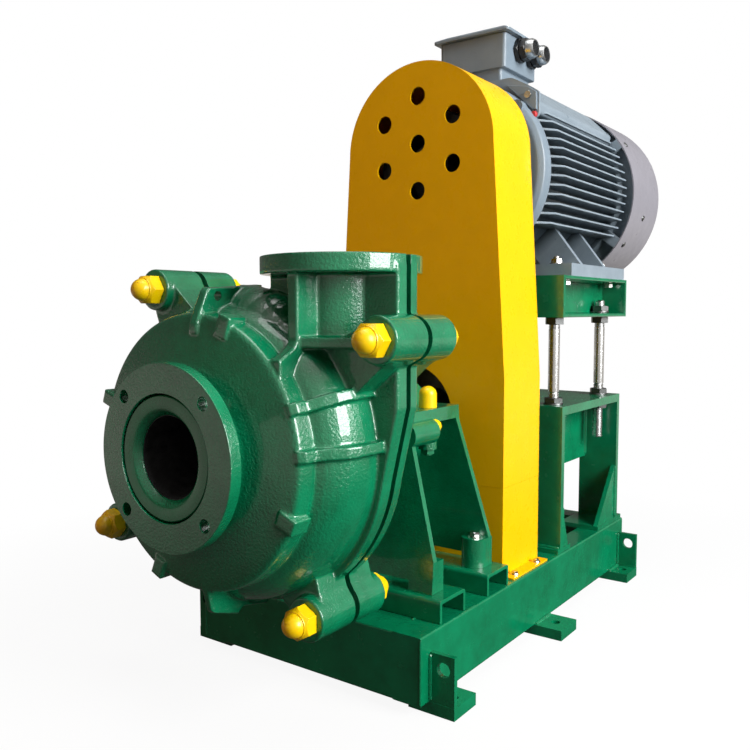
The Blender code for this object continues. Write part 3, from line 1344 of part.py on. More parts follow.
def build_pump_frame():
    """The pedestal: two leaning walls, ledges beside the cartridge, bosses and four feet."""
    low = SUPPORT_TOP + FIT_GAP
    start, end = FRAME_FRONT, FRAME_REAR
    frame = pump_frame_wall(start, -FRAME_LEAN)
    join(frame, pump_frame_wall(end, FRAME_LEAN))
    cradle = bar((0.0, start, SHAFT_HEIGHT), (0.0, end, SHAFT_HEIGHT), HOUSING_RADIUS + FRAME_WALL, ROUND_SIDES)
    reach = HOUSING_RADIUS + FRAME_WALL * 2
    below = block((-reach, start - CUT_OVERRUN, 0.0), (reach, end + CUT_OVERRUN, SHAFT_HEIGHT))
    join(frame, common(cradle, below))
    boss_low = FRAME_TOP - CLAMP_BOSS_DROP
    stud_z = SHAFT_HEIGHT - STUD_BOSS_RISE
    ledge_start, ledge_end = start - FRAME_WALL / 2, end + FRAME_WALL / 2
    for side in (-1, 1):
        edges = sorted((side * FRAME_LEDGE_INNER * 0.9, side * FRAME_TOP_HALF_WIDTH))
        ledge_low = FRAME_TOP - FRAME_LEDGE_THICKNESS
        ledge = block((edges[0], ledge_start, ledge_low), (edges[1], ledge_end, FRAME_TOP))
        x = side * CLAMP_BOLT_X
        boss = bar((x, CLAMP_BOLT_Y, boss_low), (x, CLAMP_BOLT_Y, FRAME_TOP - SINK), CLAMP_BOSS_RADIUS)
        stud_x = side * STUD_BOSS_X
        stud_boss = bar((stud_x, start - FRAME_WALL, stud_z), (stud_x, STUD_BOSS_END, stud_z), STUD_BOSS_RADIUS)
        join(frame, ledge, boss, stud_boss, *frame_feet(side))
    web_top = SHAFT_HEIGHT - HOUSING_RADIUS
    web = block((-FRAME_WALL / 2, start, low + FOOT_WEB_RISE), (FRAME_WALL / 2, end, web_top))
    join(frame, web)
    room = HOUSING_RADIUS + FIT_GAP
    cut(frame, bar((0.0, start - FOOT_WIDTH, SHAFT_HEIGHT), (0.0, end + FOOT_WIDTH, SHAFT_HEIGHT), room, ROUND_SIDES))
    hole = CLAMP_BOLT_RADIUS + FIT_GAP * 2
    for side in (-1, 1):
        x = side * CLAMP_BOLT_X
        hole_low, hole_high = boss_low - CUT_OVERRUN, FRAME_TOP + CUT_OVERRUN
        cut(frame, bar((x, CLAMP_BOLT_Y, hole_low), (x, CLAMP_BOLT_Y, hole_high), hole))
    finish(frame, "pump_frame", ENAMEL)


def dome_on(skirt, place, direction, radius):
    """Adds a domed crown at the end of a cap's skirt."""
    rows = [(math.sin(a) * radius, math.cos(a) * radius) for a in (math.radians(d) for d in (-10, 0, 35, 68))]
    dome = turned(rows, middle=(0.0, SET_MIDDLE_Y, 0.0), sides=SMALL_SIDES)
    aim = Vector(direction).to_track_quat("Y", "Z").to_matrix().to_4x4()
    dome.data.transform(Matrix.Translation(world(*place)) @ aim)
    return join(skirt, dome)


def build_clamp_bolts():
    """The bolts that clamp the bearing cartridge, and the caps on their studs and on the frame studs."""
    for side, side_name in ((-1, "left"), (1, "right")):
        x = side * CLAMP_BOLT_X
        low = FRAME_TOP - CLAMP_BOSS_DROP - FIT_GAP
        top = FRAME_TOP + FIT_GAP
        bolt = bar((x, CLAMP_BOLT_Y, low - SINK), (x, CLAMP_BOLT_Y, top + SINK * 3), CLAMP_BOLT_RADIUS)
        nut_low = low - NUT_HEIGHT * 0.6
        join(bolt, hex_bar((x, CLAMP_BOLT_Y, nut_low), (x, CLAMP_BOLT_Y, low), SMALL_CAP_FLAT_RADIUS * 0.8))
        finish(bolt, f"clamp_bolt_{side_name}", ZINC)
        crown = top + SMALL_CAP_LENGTH
        skirt = bar((x, CLAMP_BOLT_Y, top), (x, CLAMP_BOLT_Y, crown), SMALL_CAP_FLAT_RADIUS, SMALL_SIDES)
        cap = dome_on(skirt, (x, CLAMP_BOLT_Y, crown), (0.0, 0.0, 1.0), SMALL_CAP_FLAT_RADIUS * 0.94)
        room = CLAMP_BOLT_RADIUS + FIT_GAP
        cut(cap, bar((x, CLAMP_BOLT_Y, top - CUT_OVERRUN), (x, CLAMP_BOLT_Y, top + SINK * 3 + FIT_GAP), room))
        finish(cap, f"clamp_cap_{side_name}", CAP_PLASTIC)


def pulley(radius, middle, bore):
    """A grooved pulley with a rim, a web and a hub."""
    width = GROOVE_PITCH * (GROOVE_COUNT - 1) + PULLEY_MARGIN * 2
    top_half = BELT_TOP_WIDTH / 2 + BELT_SIDE_GAP
    floor_half = top_half - GROOVE_DEPTH * math.tan(GROOVE_LEAN)
    outer = [(0.0, radius)]
    for groove in range(GROOVE_COUNT):
        centre = PULLEY_MARGIN + GROOVE_PITCH * groove
        outer += [
            (centre - top_half, radius),
            (centre - floor_half, radius - GROOVE_DEPTH),
            (centre + floor_half, radius - GROOVE_DEPTH),
            (centre + top_half, radius),
        ]
    outer.append((width, radius))
    rim = radius - GROOVE_DEPTH - PULLEY_RIM
    web_start = width - PULLEY_WEB
    inner = [
        (0.0, rim),
        (web_start, rim),
        (web_start, PULLEY_HUB_RADIUS),
        (0.0, PULLEY_HUB_RADIUS),
        (0.0, bore),
        (width, bore),
    ]
    return turned(outer, inner, middle=(middle[0], PULLEY_FRONT, middle[1]), sides=HIDDEN_SIDES)


def belt(index):
    """One V-belt round both pulleys, a trapezoid swept along the tangent loop."""
    centre = PULLEY_FRONT + PULLEY_MARGIN + GROOVE_PITCH * index
    low, high = Vector((0.0, SHAFT_HEIGHT)), Vector((MOTOR_X, MOTOR_AXIS))
    line = high - low
    lean = math.atan2(line.y, line.x)
    spread = math.acos((PUMP_PULLEY_RADIUS - MOTOR_PULLEY_RADIUS) / line.length)
    turns = 20
    loops = []
    for offset in (BELT_PROUD, BELT_PROUD - BELT_HEIGHT):
        upper = arc(high, MOTOR_PULLEY_RADIUS + offset, lean - spread, lean + spread, turns)
        lower = arc(low, PUMP_PULLEY_RADIUS + offset, lean + spread, lean + 2 * math.pi - spread, turns)
        loops.append(upper + lower)
    top_half = BELT_TOP_WIDTH / 2 + BELT_PROUD * math.tan(GROOVE_LEAN)
    floor_half = top_half - BELT_HEIGHT * math.tan(GROOVE_LEAN)
    bm = bmesh.new()
    rings = []
    for outer_point, inner_point in zip(*loops):
        ring = [
            bm.verts.new(world(outer_point[0], centre - top_half, outer_point[1])),
            bm.verts.new(world(outer_point[0], centre + top_half, outer_point[1])),
            bm.verts.new(world(inner_point[0], centre + floor_half, inner_point[1])),
            bm.verts.new(world(inner_point[0], centre - floor_half, inner_point[1])),
        ]
        rings.append(ring)
    for ring, following in zip(rings, rings[1:] + rings[:1]):
        for corner in range(4):
            after = (corner + 1) % 4
            bm.faces.new((ring[corner], ring[after], following[after], following[corner]))
    return link_guide(mesh_of(bm, "belt"))


def build_belt_drive():
    """The two pulleys and the V-belts between them."""
    pump_middle, motor_middle = (0.0, SHAFT_HEIGHT), (MOTOR_X, MOTOR_AXIS)
    pivot = (0.0, PULLEY_FRONT, SHAFT_HEIGHT)
    motor_pivot = (MOTOR_X, PULLEY_FRONT, MOTOR_AXIS)
    finish(pulley(PUMP_PULLEY_RADIUS, pump_middle, SHAFT_TAIL_RADIUS + FIT_GAP), "pump_pulley", IRON, pivot=pivot)
    finish(
        pulley(MOTOR_PULLEY_RADIUS, motor_middle, MOTOR_SHAFT_RADIUS + FIT_GAP), "motor_pulley", IRON, pivot=motor_pivot
    )
    for index in range(GROOVE_COUNT):
        finish(belt(index), f"v_belt_{index + 1}", RUBBER_MATERIAL)


def guard_outline(inset, low):
    """The outline of the belt guard from a height up: straight, then tapering to a round top."""
    radius = GUARD_ARC_RADIUS - inset
    bend = GUARD_ARC_HEIGHT - (GUARD_LOW_HALF_WIDTH - GUARD_ARC_RADIUS) / GUARD_TAPER_SHARE
    half_low = GUARD_LOW_HALF_WIDTH - inset
    right = [(MOTOR_X + half_low, low)]
    if bend > low:
        right.append((MOTOR_X + half_low, bend))
    crown = arc((MOTOR_X, GUARD_ARC_HEIGHT), radius, 0.0, math.pi, CROWN_STEPS)
    left = [(2 * MOTOR_X - x, z) for x, z in reversed(right)]
    return right + crown + left


def build_guard():
    """The belt guard: a front cover with its band, a lower section with feet, and a back plate."""
    low = SKID_TOP + FIT_GAP
    back = GUARD_FRONT + GUARD_DEPTH
    seam = GUARD_SEAM_HEIGHT
    wall = GUARD_WALL
    cover = sheet(guard_outline(0.0, seam), GUARD_FRONT, back - wall - FIT_GAP)
    inside = guard_outline(wall, seam - CUT_OVERRUN)
    cut(cover, sheet(inside, GUARD_FRONT + wall, back))
    opening = GUARD_SHAFT_OPENING
    cut(cover, bar((0.0, GUARD_FRONT - CUT_OVERRUN, SHAFT_HEIGHT), (0.0, GUARD_FRONT + wall * 2, SHAFT_HEIGHT), opening, ROUND_SIDES))
    hole_z = GUARD_ARC_HEIGHT + GUARD_HOLE_RISE
    spots = [(MOTOR_X, hole_z)]
    spots += [
        (MOTOR_X + GUARD_HOLE_CIRCLE * math.cos(a), hole_z + GUARD_HOLE_CIRCLE * math.sin(a))
        for a in (math.radians(30 + 60 * k) for k in range(6))
    ]
    for x, z in spots:
        cut(cover, bar((x, GUARD_FRONT - CUT_OVERRUN, z), (x, GUARD_FRONT + wall * 2, z), GUARD_HOLE_RADIUS, VENT_SIDES))
    finish(cover, "guard_cover", GUARD_PAINT)

    half = GUARD_LOW_HALF_WIDTH
    base_top = seam - FIT_GAP
    base = block((MOTOR_X - half, GUARD_FRONT, low), (MOTOR_X + half, back - wall - FIT_GAP, base_top))
    cut(
        base,
        block(
            (MOTOR_X - half + wall, GUARD_FRONT + wall, low - CUT_OVERRUN),
            (MOTOR_X + half - wall, back + CUT_OVERRUN, base_top + CUT_OVERRUN),
        ),
    )
    for side in (-1, 1):
        edges = sorted((MOTOR_X + side * (half - wall / 2), MOTOR_X + side * (half + GUARD_FOOT_REACH)))
        join(base, block((edges[0], GUARD_FRONT, low), (edges[1], back - wall - FIT_GAP, low + wall)))
    finish(base, "guard_base", GUARD_PAINT)

    plate = sheet(guard_outline(0.0, low), back - wall, back)
    slot_low = MOTOR_AXIS - PLATFORM_LOWER
    slot_high = MOTOR_AXIS + PLATFORM_RAISE
    slot = arc((MOTOR_X, slot_high), GUARD_SLOT_RADIUS, 0.0, math.pi, 12)
    slot += arc((MOTOR_X, slot_low), GUARD_SLOT_RADIUS, math.pi, 2 * math.pi, 12)
    cut(plate, sheet(slot, back - wall * 2, back + wall))
    finish(plate, "guard_back", GUARD_PAINT)


def motor_fin(height, side):
    """One cooling fin on a side of the motor, with its front corner cut back."""
    rise = MOTOR_AXIS + height
    reach = math.sqrt(MOTOR_FIN_RADIUS**2 - height**2)
    root = math.sqrt(max(MOTOR_BODY_RADIUS**2 - height**2, 0.0)) - SINK * 2
    start = MOTOR_BODY_FRONT + SINK
    end = MOTOR_BODY_FRONT + MOTOR_BODY_LENGTH - SINK
    points = [
        (MOTOR_X + side * root, start),
        (MOTOR_X + side * (reach - MOTOR_FIN_CHAMFER * 0.75), start),
        (MOTOR_X + side * reach, start + MOTOR_FIN_CHAMFER),
        (MOTOR_X + side * reach, end),
        (MOTOR_X + side * root, end),
    ]
    return sheet(points, rise - MOTOR_FIN_THICKNESS / 2, rise + MOTOR_FIN_THICKNESS / 2, facing="Z")


def build_motor_frame():
    """The finned stator frame with its feet, foot ribs and the flat deck for the terminal box."""
    start, end = MOTOR_BODY_FRONT, MOTOR_BODY_FRONT + MOTOR_BODY_LENGTH
    body = bar((MOTOR_X, start, MOTOR_AXIS), (MOTOR_X, end, MOTOR_AXIS), MOTOR_BODY_RADIUS, ROUND_SIDES)
    for side in (-1, 1):
        for count in range(-MOTOR_FIN_HALF_COUNT, MOTOR_FIN_HALF_COUNT + 1):
            join(body, motor_fin(MOTOR_FIN_PITCH * (count + 0.5), side))
        outer, inner = side * MOTOR_FOOT_HALF_WIDTH, side * (MOTOR_FOOT_HALF_WIDTH - MOTOR_FOOT_WIDTH)
        low, high = MOTOR_FOOT_BOTTOM, MOTOR_FOOT_BOTTOM + MOTOR_FOOT_THICKNESS
        edges = sorted((MOTOR_X + outer, MOTOR_X + inner))
        foot = block((edges[0], MOTOR_FOOT_FRONT, low), (edges[1], MOTOR_FOOT_FRONT + MOTOR_FOOT_LENGTH, high))
        for count in range(FOOT_RIB_COUNT):
            station = FOOT_RIB_FRONT + FOOT_RIB_SPACING * count
            points = [
                (MOTOR_X + outer * 0.97, high - SINK),
                (MOTOR_X + outer * 0.62, MOTOR_AXIS - MOTOR_BODY_RADIUS * 0.55),
                (MOTOR_X + outer * 0.30, MOTOR_AXIS - MOTOR_BODY_RADIUS * 0.75),
                (MOTOR_X + inner * 0.98, high - SINK),
            ]
            join(foot, sheet(points, station - FOOT_RIB_THICKNESS / 2, station + FOOT_RIB_THICKNESS / 2))
        join(body, foot)
    deck_low = MOTOR_AXIS + MOTOR_BODY_RADIUS * 0.7
    right = [
        (DECK_FLANK_HALF_WIDTH - SINK * 2, deck_low),
        (DECK_FLANK_HALF_WIDTH, MOTOR_AXIS + DECK_FLANK_RISE),
        (TOP_DECK_HALF_WIDTH, MOTOR_AXIS + TOP_DECK_RISE),
    ]
    deck = [(MOTOR_X + x, z) for x, z in both_sides(right)]
    join(body, sheet(deck, start + SINK, end - SINK))
    stator = running_bore(ROTOR_RADIUS, ROUND_SIDES, AIR_GAP)
    bore = [
        (start - CUT_OVERRUN, MOTOR_BORE_RADIUS),
        (start + STATOR_INSET, MOTOR_BORE_RADIUS),
        (start + STATOR_INSET, stator),
        (end - STATOR_INSET, stator),
        (end - STATOR_INSET, MOTOR_BORE_RADIUS),
        (end + CUT_OVERRUN, MOTOR_BORE_RADIUS),
    ]
    cut(body, turned(bore, middle=(MOTOR_X, 0.0, MOTOR_AXIS)))
    finish(body, "motor_frame", MOTOR_PAINT)


def build_motor():
    """Shields, rotor, fan, cowl and terminal box round the motor frame."""
    middle = (MOTOR_X, 0.0, MOTOR_AXIS)
    start, end = MOTOR_BODY_FRONT, MOTOR_BODY_FRONT + MOTOR_BODY_LENGTH
    bore = MOTOR_SHAFT_RADIUS + LINER_GAP
    spigot = MOTOR_BORE_RADIUS - FIT_GAP
    face = start - FIT_GAP - SHIELD_THICKNESS
    drive_shield = turned(
        [
            (face - SHIELD_HUB_LENGTH, SHIELD_HUB_RADIUS),
            (face, SHIELD_HUB_RADIUS * 1.1),
            (face, SHIELD_RADIUS - SINK * 2),
            (face + SINK * 2, SHIELD_RADIUS),
            (start - FIT_GAP, SHIELD_RADIUS),
            (start - FIT_GAP, spigot),
            (start + SHIELD_THICKNESS / 2, spigot),
        ],
        [(face - SHIELD_HUB_LENGTH, bore), (start + SHIELD_THICKNESS / 2, bore)],
        middle=middle,
    )
    finish(drive_shield, "drive_end_shield", MOTOR_PAINT)
    back = end + FIT_GAP + SHIELD_THICKNESS
    cowl_seat = COWL_RADIUS - COWL_WALL - FIT_GAP
    fan_shield = turned(
        [
            (end - SHIELD_THICKNESS / 2, spigot),
            (end + FIT_GAP, spigot),
            (end + FIT_GAP, cowl_seat),
            (back - SINK * 2, cowl_seat),
            (back, cowl_seat - SINK * 2),
        ],
        [(end - SHIELD_THICKNESS / 2, bore), (back, bore)],
        middle=middle,
    )
    finish(fan_shield, "fan_end_shield", MOTOR_PAINT)
    fan_start = back + SHIELD_THICKNESS / 2
    core_start, core_end = start + STATOR_INSET - SINK, end - STATOR_INSET + SINK
    rotor = turned(
        [
            (MOTOR_SHAFT_START, MOTOR_SHAFT_RADIUS),
            (core_start, MOTOR_SHAFT_RADIUS),
            (core_start, ROTOR_RADIUS),
            (core_end, ROTOR_RADIUS),
            (core_end, MOTOR_SHAFT_RADIUS),
            (fan_start + FAN_WIDTH, MOTOR_SHAFT_RADIUS),
        ],
        middle=middle,
        sides=HIDDEN_SIDES,
    )
    finish(rotor, "motor_rotor", ZINC, pivot=middle)
    build_fan(fan_start, middle)
    cowl_start = end + FIT_GAP * 2
    build_cowl(cowl_start, middle)
    build_terminal_box()


def build_fan(start, middle):
    """The cooling fan: a hub disc with straight radial blades."""
    bore = MOTOR_SHAFT_RADIUS + FIT_GAP
    disc = turned(
        [
            (start, FAN_RADIUS * 0.8),
            (start + SINK * 2, FAN_RADIUS * 0.8),
            (start + SINK * 2, FAN_HUB_RADIUS),
            (start + FAN_WIDTH, FAN_HUB_RADIUS),
        ],
        [(start, bore), (start + FAN_WIDTH, bore)],
        middle=middle,
        sides=HIDDEN_SIDES,
    )
    for count in range(FAN_BLADE_COUNT):
        blade = block((FAN_HUB_RADIUS - SINK, start + SINK / 2, -SINK), (FAN_RADIUS, start + FAN_WIDTH * 0.95, SINK))
        blade.data.transform(Matrix.Rotation(2 * math.pi * count / FAN_BLADE_COUNT, 4, "Y"))
        blade.data.transform(Matrix.Translation((MOTOR_X, 0.0, MOTOR_AXIS)))
        join(disc, blade)
    finish(disc, "motor_fan", BLACK_PLASTIC, pivot=middle)


def build_cowl(start, middle):
    """The sheet fan cowl with a rounded back corner and slots for the air."""
    end = start + COWL_LENGTH
    wall = COWL_WALL
    corner = COWL_CORNER

    def rows(radius, back, inset):
        bend = [
            (back - corner + (corner - inset) * math.sin(a), radius - corner + inset + (corner - inset) * math.cos(a))
            for a in (math.radians(d) for d in (0, 30, 60, 90))
        ]
        return [(start, radius)] + bend

    outer = rows(COWL_RADIUS, end, 0.0)
    inner = rows(COWL_RADIUS - wall, end - wall + 0.0, 0.0)
    cowl = turned(outer, middle=middle)
    inner[0] = (start - CUT_OVERRUN, COWL_RADIUS - wall)
    cut(cowl, turned(inner, middle=middle))
    for count in range(-5, 6):
        x = MOTOR_X + count * COWL_SLOT_WIDTH * 3.4
        half = math.sqrt((COWL_RADIUS * 0.72) ** 2 - (x - MOTOR_X) ** 2)
        slot = block(
            (x - COWL_SLOT_WIDTH / 2, end - corner / 2, MOTOR_AXIS - half),
            (x + COWL_SLOT_WIDTH / 2, end + CUT_OVERRUN, MOTOR_AXIS + half),
        )
        cut(cowl, slot)
    finish(cowl, "fan_cowl", COWL_PAINT)


def build_terminal_box():
    """The box on the motor's deck, its hipped lid and two cable glands."""
    low = MOTOR_AXIS + TOP_DECK_RISE + FIT_GAP
    start, end = TERMINAL_BOX_FRONT, TERMINAL_BOX_FRONT + TERMINAL_BOX_DEPTH
    half = TERMINAL_BOX_HALF_WIDTH
    inset = TERMINAL_NECK_INSET
    floor = MOTOR_AXIS + TERMINAL_BOX_RISE
    top = floor + TERMINAL_BOX_HEIGHT
    neck = block((MOTOR_X - half + inset, start + inset / 2, low), (MOTOR_X + half - inset, end - inset / 2, floor + SINK))
    box = block((MOTOR_X - half, start, floor), (MOTOR_X + half, end, top))
    join(box, neck)
    wall = TERMINAL_WALL
    cut(box, block((MOTOR_X - half + wall, start + wall, floor + wall), (MOTOR_X + half - wall, end - wall, top + CUT_OVERRUN)))
    finish(box, "terminal_box", MOTOR_PAINT)
    for count, station in enumerate((-0.5, 0.5)):
        place = (start + end) / 2 + GLAND_SHIFT + GLAND_SPACING * station
        height = floor + GLAND_RISE
        face = MOTOR_X + half + FIT_GAP
        gland = hex_bar((face, place, height), (face + GLAND_LENGTH * 0.55, place, height), GLAND_RADIUS, math.pi / HEX_SIDES)
        nose = bar((face + GLAND_LENGTH * 0.5, place, height), (face + GLAND_LENGTH, place, height), GLAND_RADIUS * 0.92, end_radius=GLAND_RADIUS * 0.75)
        join(gland, nose)
        cut(gland, bar((face + GLAND_LENGTH * 0.6, place, height), (face + GLAND_LENGTH + CUT_OVERRUN, place, height), GLAND_BORE))
        finish(gland, f"cable_gland_{count + 1}", BLACK_PLASTIC)
    over = LID_OVERHANG
    lid_low = top + FIT_GAP
    lid = block((MOTOR_X - half - over, start - over, lid_low), (MOTOR_X + half + over, end + over, lid_low + LID_RIM))
    bm = bmesh.new()
    bmesh.ops.create_cube(bm, size=1.0)
    middle = world(MOTOR_X, (start + end) / 2, lid_low + LID_RIM + (LID_HEIGHT - LID_RIM) / 2 - SINK / 4)
    size = Vector((2 * (half + over), TERMINAL_BOX_DEPTH + 2 * over, LID_HEIGHT - LID_RIM))
    for vertex in bm.verts:
        if vertex.co.z > 0:
            vertex.co.x *= 0.8
            vertex.co.y *= 0.7
    bmesh.ops.transform(bm, matrix=Matrix.Translation(middle) @ Matrix.Diagonal(size * 0.985).to_4x4(), verts=bm.verts)
    join(lid, link_guide(mesh_of(bm, "crown")))
    finish(lid, "terminal_lid", MOTOR_PAINT)


build_skid()
build_supports()
build_motor_stand()
build_platform()
build_rods()
build_front_casing()
build_rear_casing()
build_casing_bolts()
build_liners()
build_impeller()
build_shaft_line()
build_pump_frame()
build_clamp_bolts()
build_belt_drive()
build_guard()
build_motor_frame()
build_motor()
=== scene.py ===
"""Belt-driven slurry pump on a skid, dressed with cast, welded and sheet-metal pieces.

The shaft runs along Y, the suction flange faces -Y, +X is the discharge side and Z is up.
Lengths are in metres. A station is a distance behind the suction face.
"""

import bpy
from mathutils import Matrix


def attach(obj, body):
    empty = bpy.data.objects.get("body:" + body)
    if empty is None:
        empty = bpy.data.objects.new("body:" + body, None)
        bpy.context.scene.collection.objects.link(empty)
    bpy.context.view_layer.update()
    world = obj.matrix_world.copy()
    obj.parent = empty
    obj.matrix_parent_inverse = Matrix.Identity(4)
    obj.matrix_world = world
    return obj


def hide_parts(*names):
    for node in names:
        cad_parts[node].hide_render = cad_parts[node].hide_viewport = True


bl_info = {
    "name": "Slurry Pump Set",
    "version": (1, 0, 0),
    "blender": (4, 5, 0),
    "location": "View3D > Sidebar > Pump Set",
    "description": "Builds the castings, steelwork, motor and finishes of a belt-driven slurry pump",
    "category": "Add Mesh",
}

import math

import bmesh
import bpy
from bpy.props import FloatProperty, FloatVectorProperty, IntProperty, PointerProperty
from mathutils import Matrix, Vector

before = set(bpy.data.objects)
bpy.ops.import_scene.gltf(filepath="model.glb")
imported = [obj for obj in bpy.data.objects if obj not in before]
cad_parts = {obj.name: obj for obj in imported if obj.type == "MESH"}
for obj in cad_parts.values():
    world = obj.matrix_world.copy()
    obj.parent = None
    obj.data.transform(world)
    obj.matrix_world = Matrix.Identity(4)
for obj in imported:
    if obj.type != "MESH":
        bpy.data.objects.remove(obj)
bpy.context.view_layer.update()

# Overall places. GAP keeps neighbours apart, and OVERRUN is how far a cutter reaches past a face.
MIDDLE = 0.617
SHAFT_Z = 0.362
DECK_Z = 0.1103
GAP = 0.0003
OVERRUN = 0.004
FULL_TURN = 2 * math.pi

# Pump casing
FLANGE_R = 0.1145
FLANGE_ROOT_R = 0.0860
FLANGE_T = 0.0165
SUCTION_BOLT_CIRCLE = 0.099
SUCTION_HOLE_R = 0.0085
SEAT_R = 0.0775
RING_R = 0.172
BULGE_R = 0.206
RIM_R = 0.216
RIM_FRONT = 0.150
SPLIT_FRONT = 0.168
SPLIT_REAR = 0.177
SPLIT_MIDDLE = 0.1725
RIM_BACK = 0.192
SHELL_BACK = 0.242
HOLLOW_R = 0.193
HOLLOW_EYE_R = 0.1325
GROWTH = 0.018
CUTWATER = math.radians(78)
SPIRAL_RISE = 0.84
LUG_CIRCLE = 0.250
LUG_ANGLES = tuple(math.radians(a) for a in (31, 124, 210, 303))
LUG_SHARES = (1.10, 0.98, 1.07, 0.95)
LUG_NAMES = ("upper_right", "upper_left", "lower_left", "lower_right")
CAP_TURNS = tuple(math.radians(a) for a in (30, 30, 15, 0))
LUG_R = 0.028
LUG_HOLE_R = 0.0115
LUG_FRONT = 0.104
LUG_REAR = 0.234
ARM_STEP = 0.012

# Outlines of the front half, each (station, radius)
FRONT_PROFILE = (
    (0.004, 0.0905), (0.0200, 0.0910), (0.0260, 0.0945), (0.0312, 0.1020), (0.0352, 0.1130),
    (0.0388, 0.1280), (0.0422, 0.1450), (0.0450, 0.1600), (0.0466, 0.1672), (0.0484, 0.1706),
    (0.0510, 0.1722), (0.0690, 0.1742), (0.0714, 0.1728), (0.0732, 0.1722), (0.0752, 0.1758),
    (0.0790, 0.1830), (0.0850, 0.1902), (0.0930, 0.1966), (0.1030, 0.2018), (0.1140, 0.2048),
    (0.1260, 0.2062), (0.1400, 0.2060), (SPLIT_FRONT, 0.2045))
FRONT_SPIRAL_R = 0.1750
RIB_OUTLINE = (
    (0.0455, 0.1720), (0.0520, 0.1790), (0.0680, 0.1815), (0.0790, 0.1935), (0.0930, 0.2055),
    (0.1100, 0.2125), (0.1300, 0.2150), (0.1540, 0.2160), (0.1540, 0.145), (0.0700, 0.145))
RIB_FOOT = 0.0465
RIB_WIDTH = 0.0142
FRONT_RIBS = ((22, 0.164), (4, 0.152), (178, 0.160))
EYE_AT = 86.0
EYE_WIDTH = 0.0130
EYE_OUTLINE = (
    (0.0400, 0.148), (0.0400, 0.1600), (0.0550, 0.1985), (0.060, 0.2030), (0.100, 0.2050), (0.150, 0.2090),
    (0.150, 0.148))
FIN_AT = 275.5
FIN_WIDTH = 0.0100
FIN_OUTLINE = (
    (0.0455, 0.150), (0.0455, 0.1620), (0.0515, 0.1960), (0.055, 0.2000), (0.0955, 0.2130), (0.1050, 0.2060),
    (0.150, 0.2150), (0.150, 0.150))
BLOCK_ANGLES = (69.5, -22.4, 246.8, 160)
BLOCK_REACH = (0.1540, 0.1805)
BLOCK_WIDTH = 0.0195
BLOCK_STATIONS = (0.0415, 0.0700)

# Outlines of the rear half, each (station, radius)
REAR_PROFILE = (
    (SPLIT_REAR - OVERRUN, 0.204), (RIM_BACK, 0.204), (0.200, 0.198), (0.210, 0.186), (0.222, 0.163),
    (0.232, 0.138), (0.239, 0.120), (SHELL_BACK, 0.112))
REAR_SPIRAL_R = 0.118
REAR_RIB = ((0.186, 0.100), (0.186, 0.207), (0.196, 0.207), (0.243, 0.118), (0.243, 0.100))
REAR_RIB_ANGLES = (10, 55, 150, 178, 240, 275, 335)
REAR_RIB_WIDTH = 0.011

# Discharge branch
BRANCH_X = 0.134
BRANCH_TOP = 0.602
BRANCH_R = 0.100
BRANCH_T = 0.022
BRANCH_HALF = 0.0995
BRANCH_BORE_R = 0.0465
BRANCH_NECK_R = 0.056
BRANCH_BOLT_CIRCLE = 0.080
BRANCH_HOLE_R = 0.009
WEB_X = 0.1345
WEB_HALF = 0.0075
SHELF_LOW = 0.4930
SHELF_HIGH = 0.5056
WEB_FOOT = 0.4600
THROAT_STATION = 0.132
THROAT_REACH = 0.2080
THROAT_BALLS = ((88, 0.033), (82, 0.042), (76, 0.048), (69, 0.052), (62, 0.054), (54, 0.054))

# Pedestal
PEDESTAL_FRONT = 0.3335
PEDESTAL_REAR = 0.4725
PEDESTAL_WALL = 0.009
PEDESTAL_LEAN = 0.0185
PEDESTAL_HALF = 0.128
LEDGE_LOW = 0.371
LEDGE_TOP = 0.391
FOOT_LOW = 0.1426
FOOT_TOP = 0.1880
FOOT_IN = 0.1385
FOOT_OUT = 0.1785
FOOT_X = 0.1585
CLAMP_X = 0.112
CLAMP_AT = 0.408

# Steelwork
SKID_HALF = 0.2045
SKID_FRONT = 0.246
SKID_REAR = 1.014
SKID_LOW = 0.016
SKID_TOP = 0.110
STAND_HALF = 0.2015
TABLE_LOW = 0.354
TABLE_TOP = 0.369
PLATFORM_LOW = 0.524
PLATFORM_TOP = 0.597
PLATFORM_WALL = 0.008
ROD_X = 0.170
ROD_STATIONS = (0.736, 0.956)
ROD_R = 0.0099
ROD_HOLE_R = 0.0108
NUT_FLAT = 0.0150
NUT_HOLE_R = 0.0106
WASHER_R = 0.0175
WASHER_T = 0.0025
WASHER_HOLE_R = 0.0107

# Belt guard
GUARD_FRONT = 0.525
GUARD_BACK = 0.657
GUARD_WALL = 0.003
GUARD_SEAM = 0.255
GUARD_HALF = 0.163
GUARD_TOP_R = 0.140
GUARD_TOP_Z = 0.802
GUARD_TAPER = 0.0613

# Motor
MOTOR_X = 0.0165
MOTOR_Z = 0.7773
MOTOR_FRONT = 0.692
MOTOR_LENGTH = 0.361
MOTOR_BACK = MOTOR_FRONT + MOTOR_LENGTH
MOTOR_FOOT = 0.5973
BARREL_R = 0.140
DECK_TOP = 0.163
FIN_PITCH = 0.0159
SHIELD_ARMS = (34, 146, 214, 326)

# Camera, solved on the photograph
CAMERA_SPOT = (0.7577176, -1.2357717, 0.5354263)
CAMERA_TURN = (0.6301743, -0.0799538, -0.0020955)
CAMERA_LENS = 38.924
CAMERA_SHIFT = (0.00377, 0.00168)

# Stage: where the lamps point, and the side of the room that the gloss sees brightest
LAMP_AIM = Vector((0.0, 0.0, 0.5))
WINDOW_SIDE = (0.72, -0.25, 0.65)


def at(x, station, z):
    """A point given by its station behind the suction face."""
    return Vector((x, station - MIDDLE, z))


def linear(code):
    """Turns an sRGB hex colour into linear values."""
    parts = [int(code[k:k + 2], 16) / 255 for k in (1, 3, 5)]
    return tuple(p / 12.92 if p <= 0.04045 else ((p + 0.055) / 1.055) ** 2.4 for p in parts)


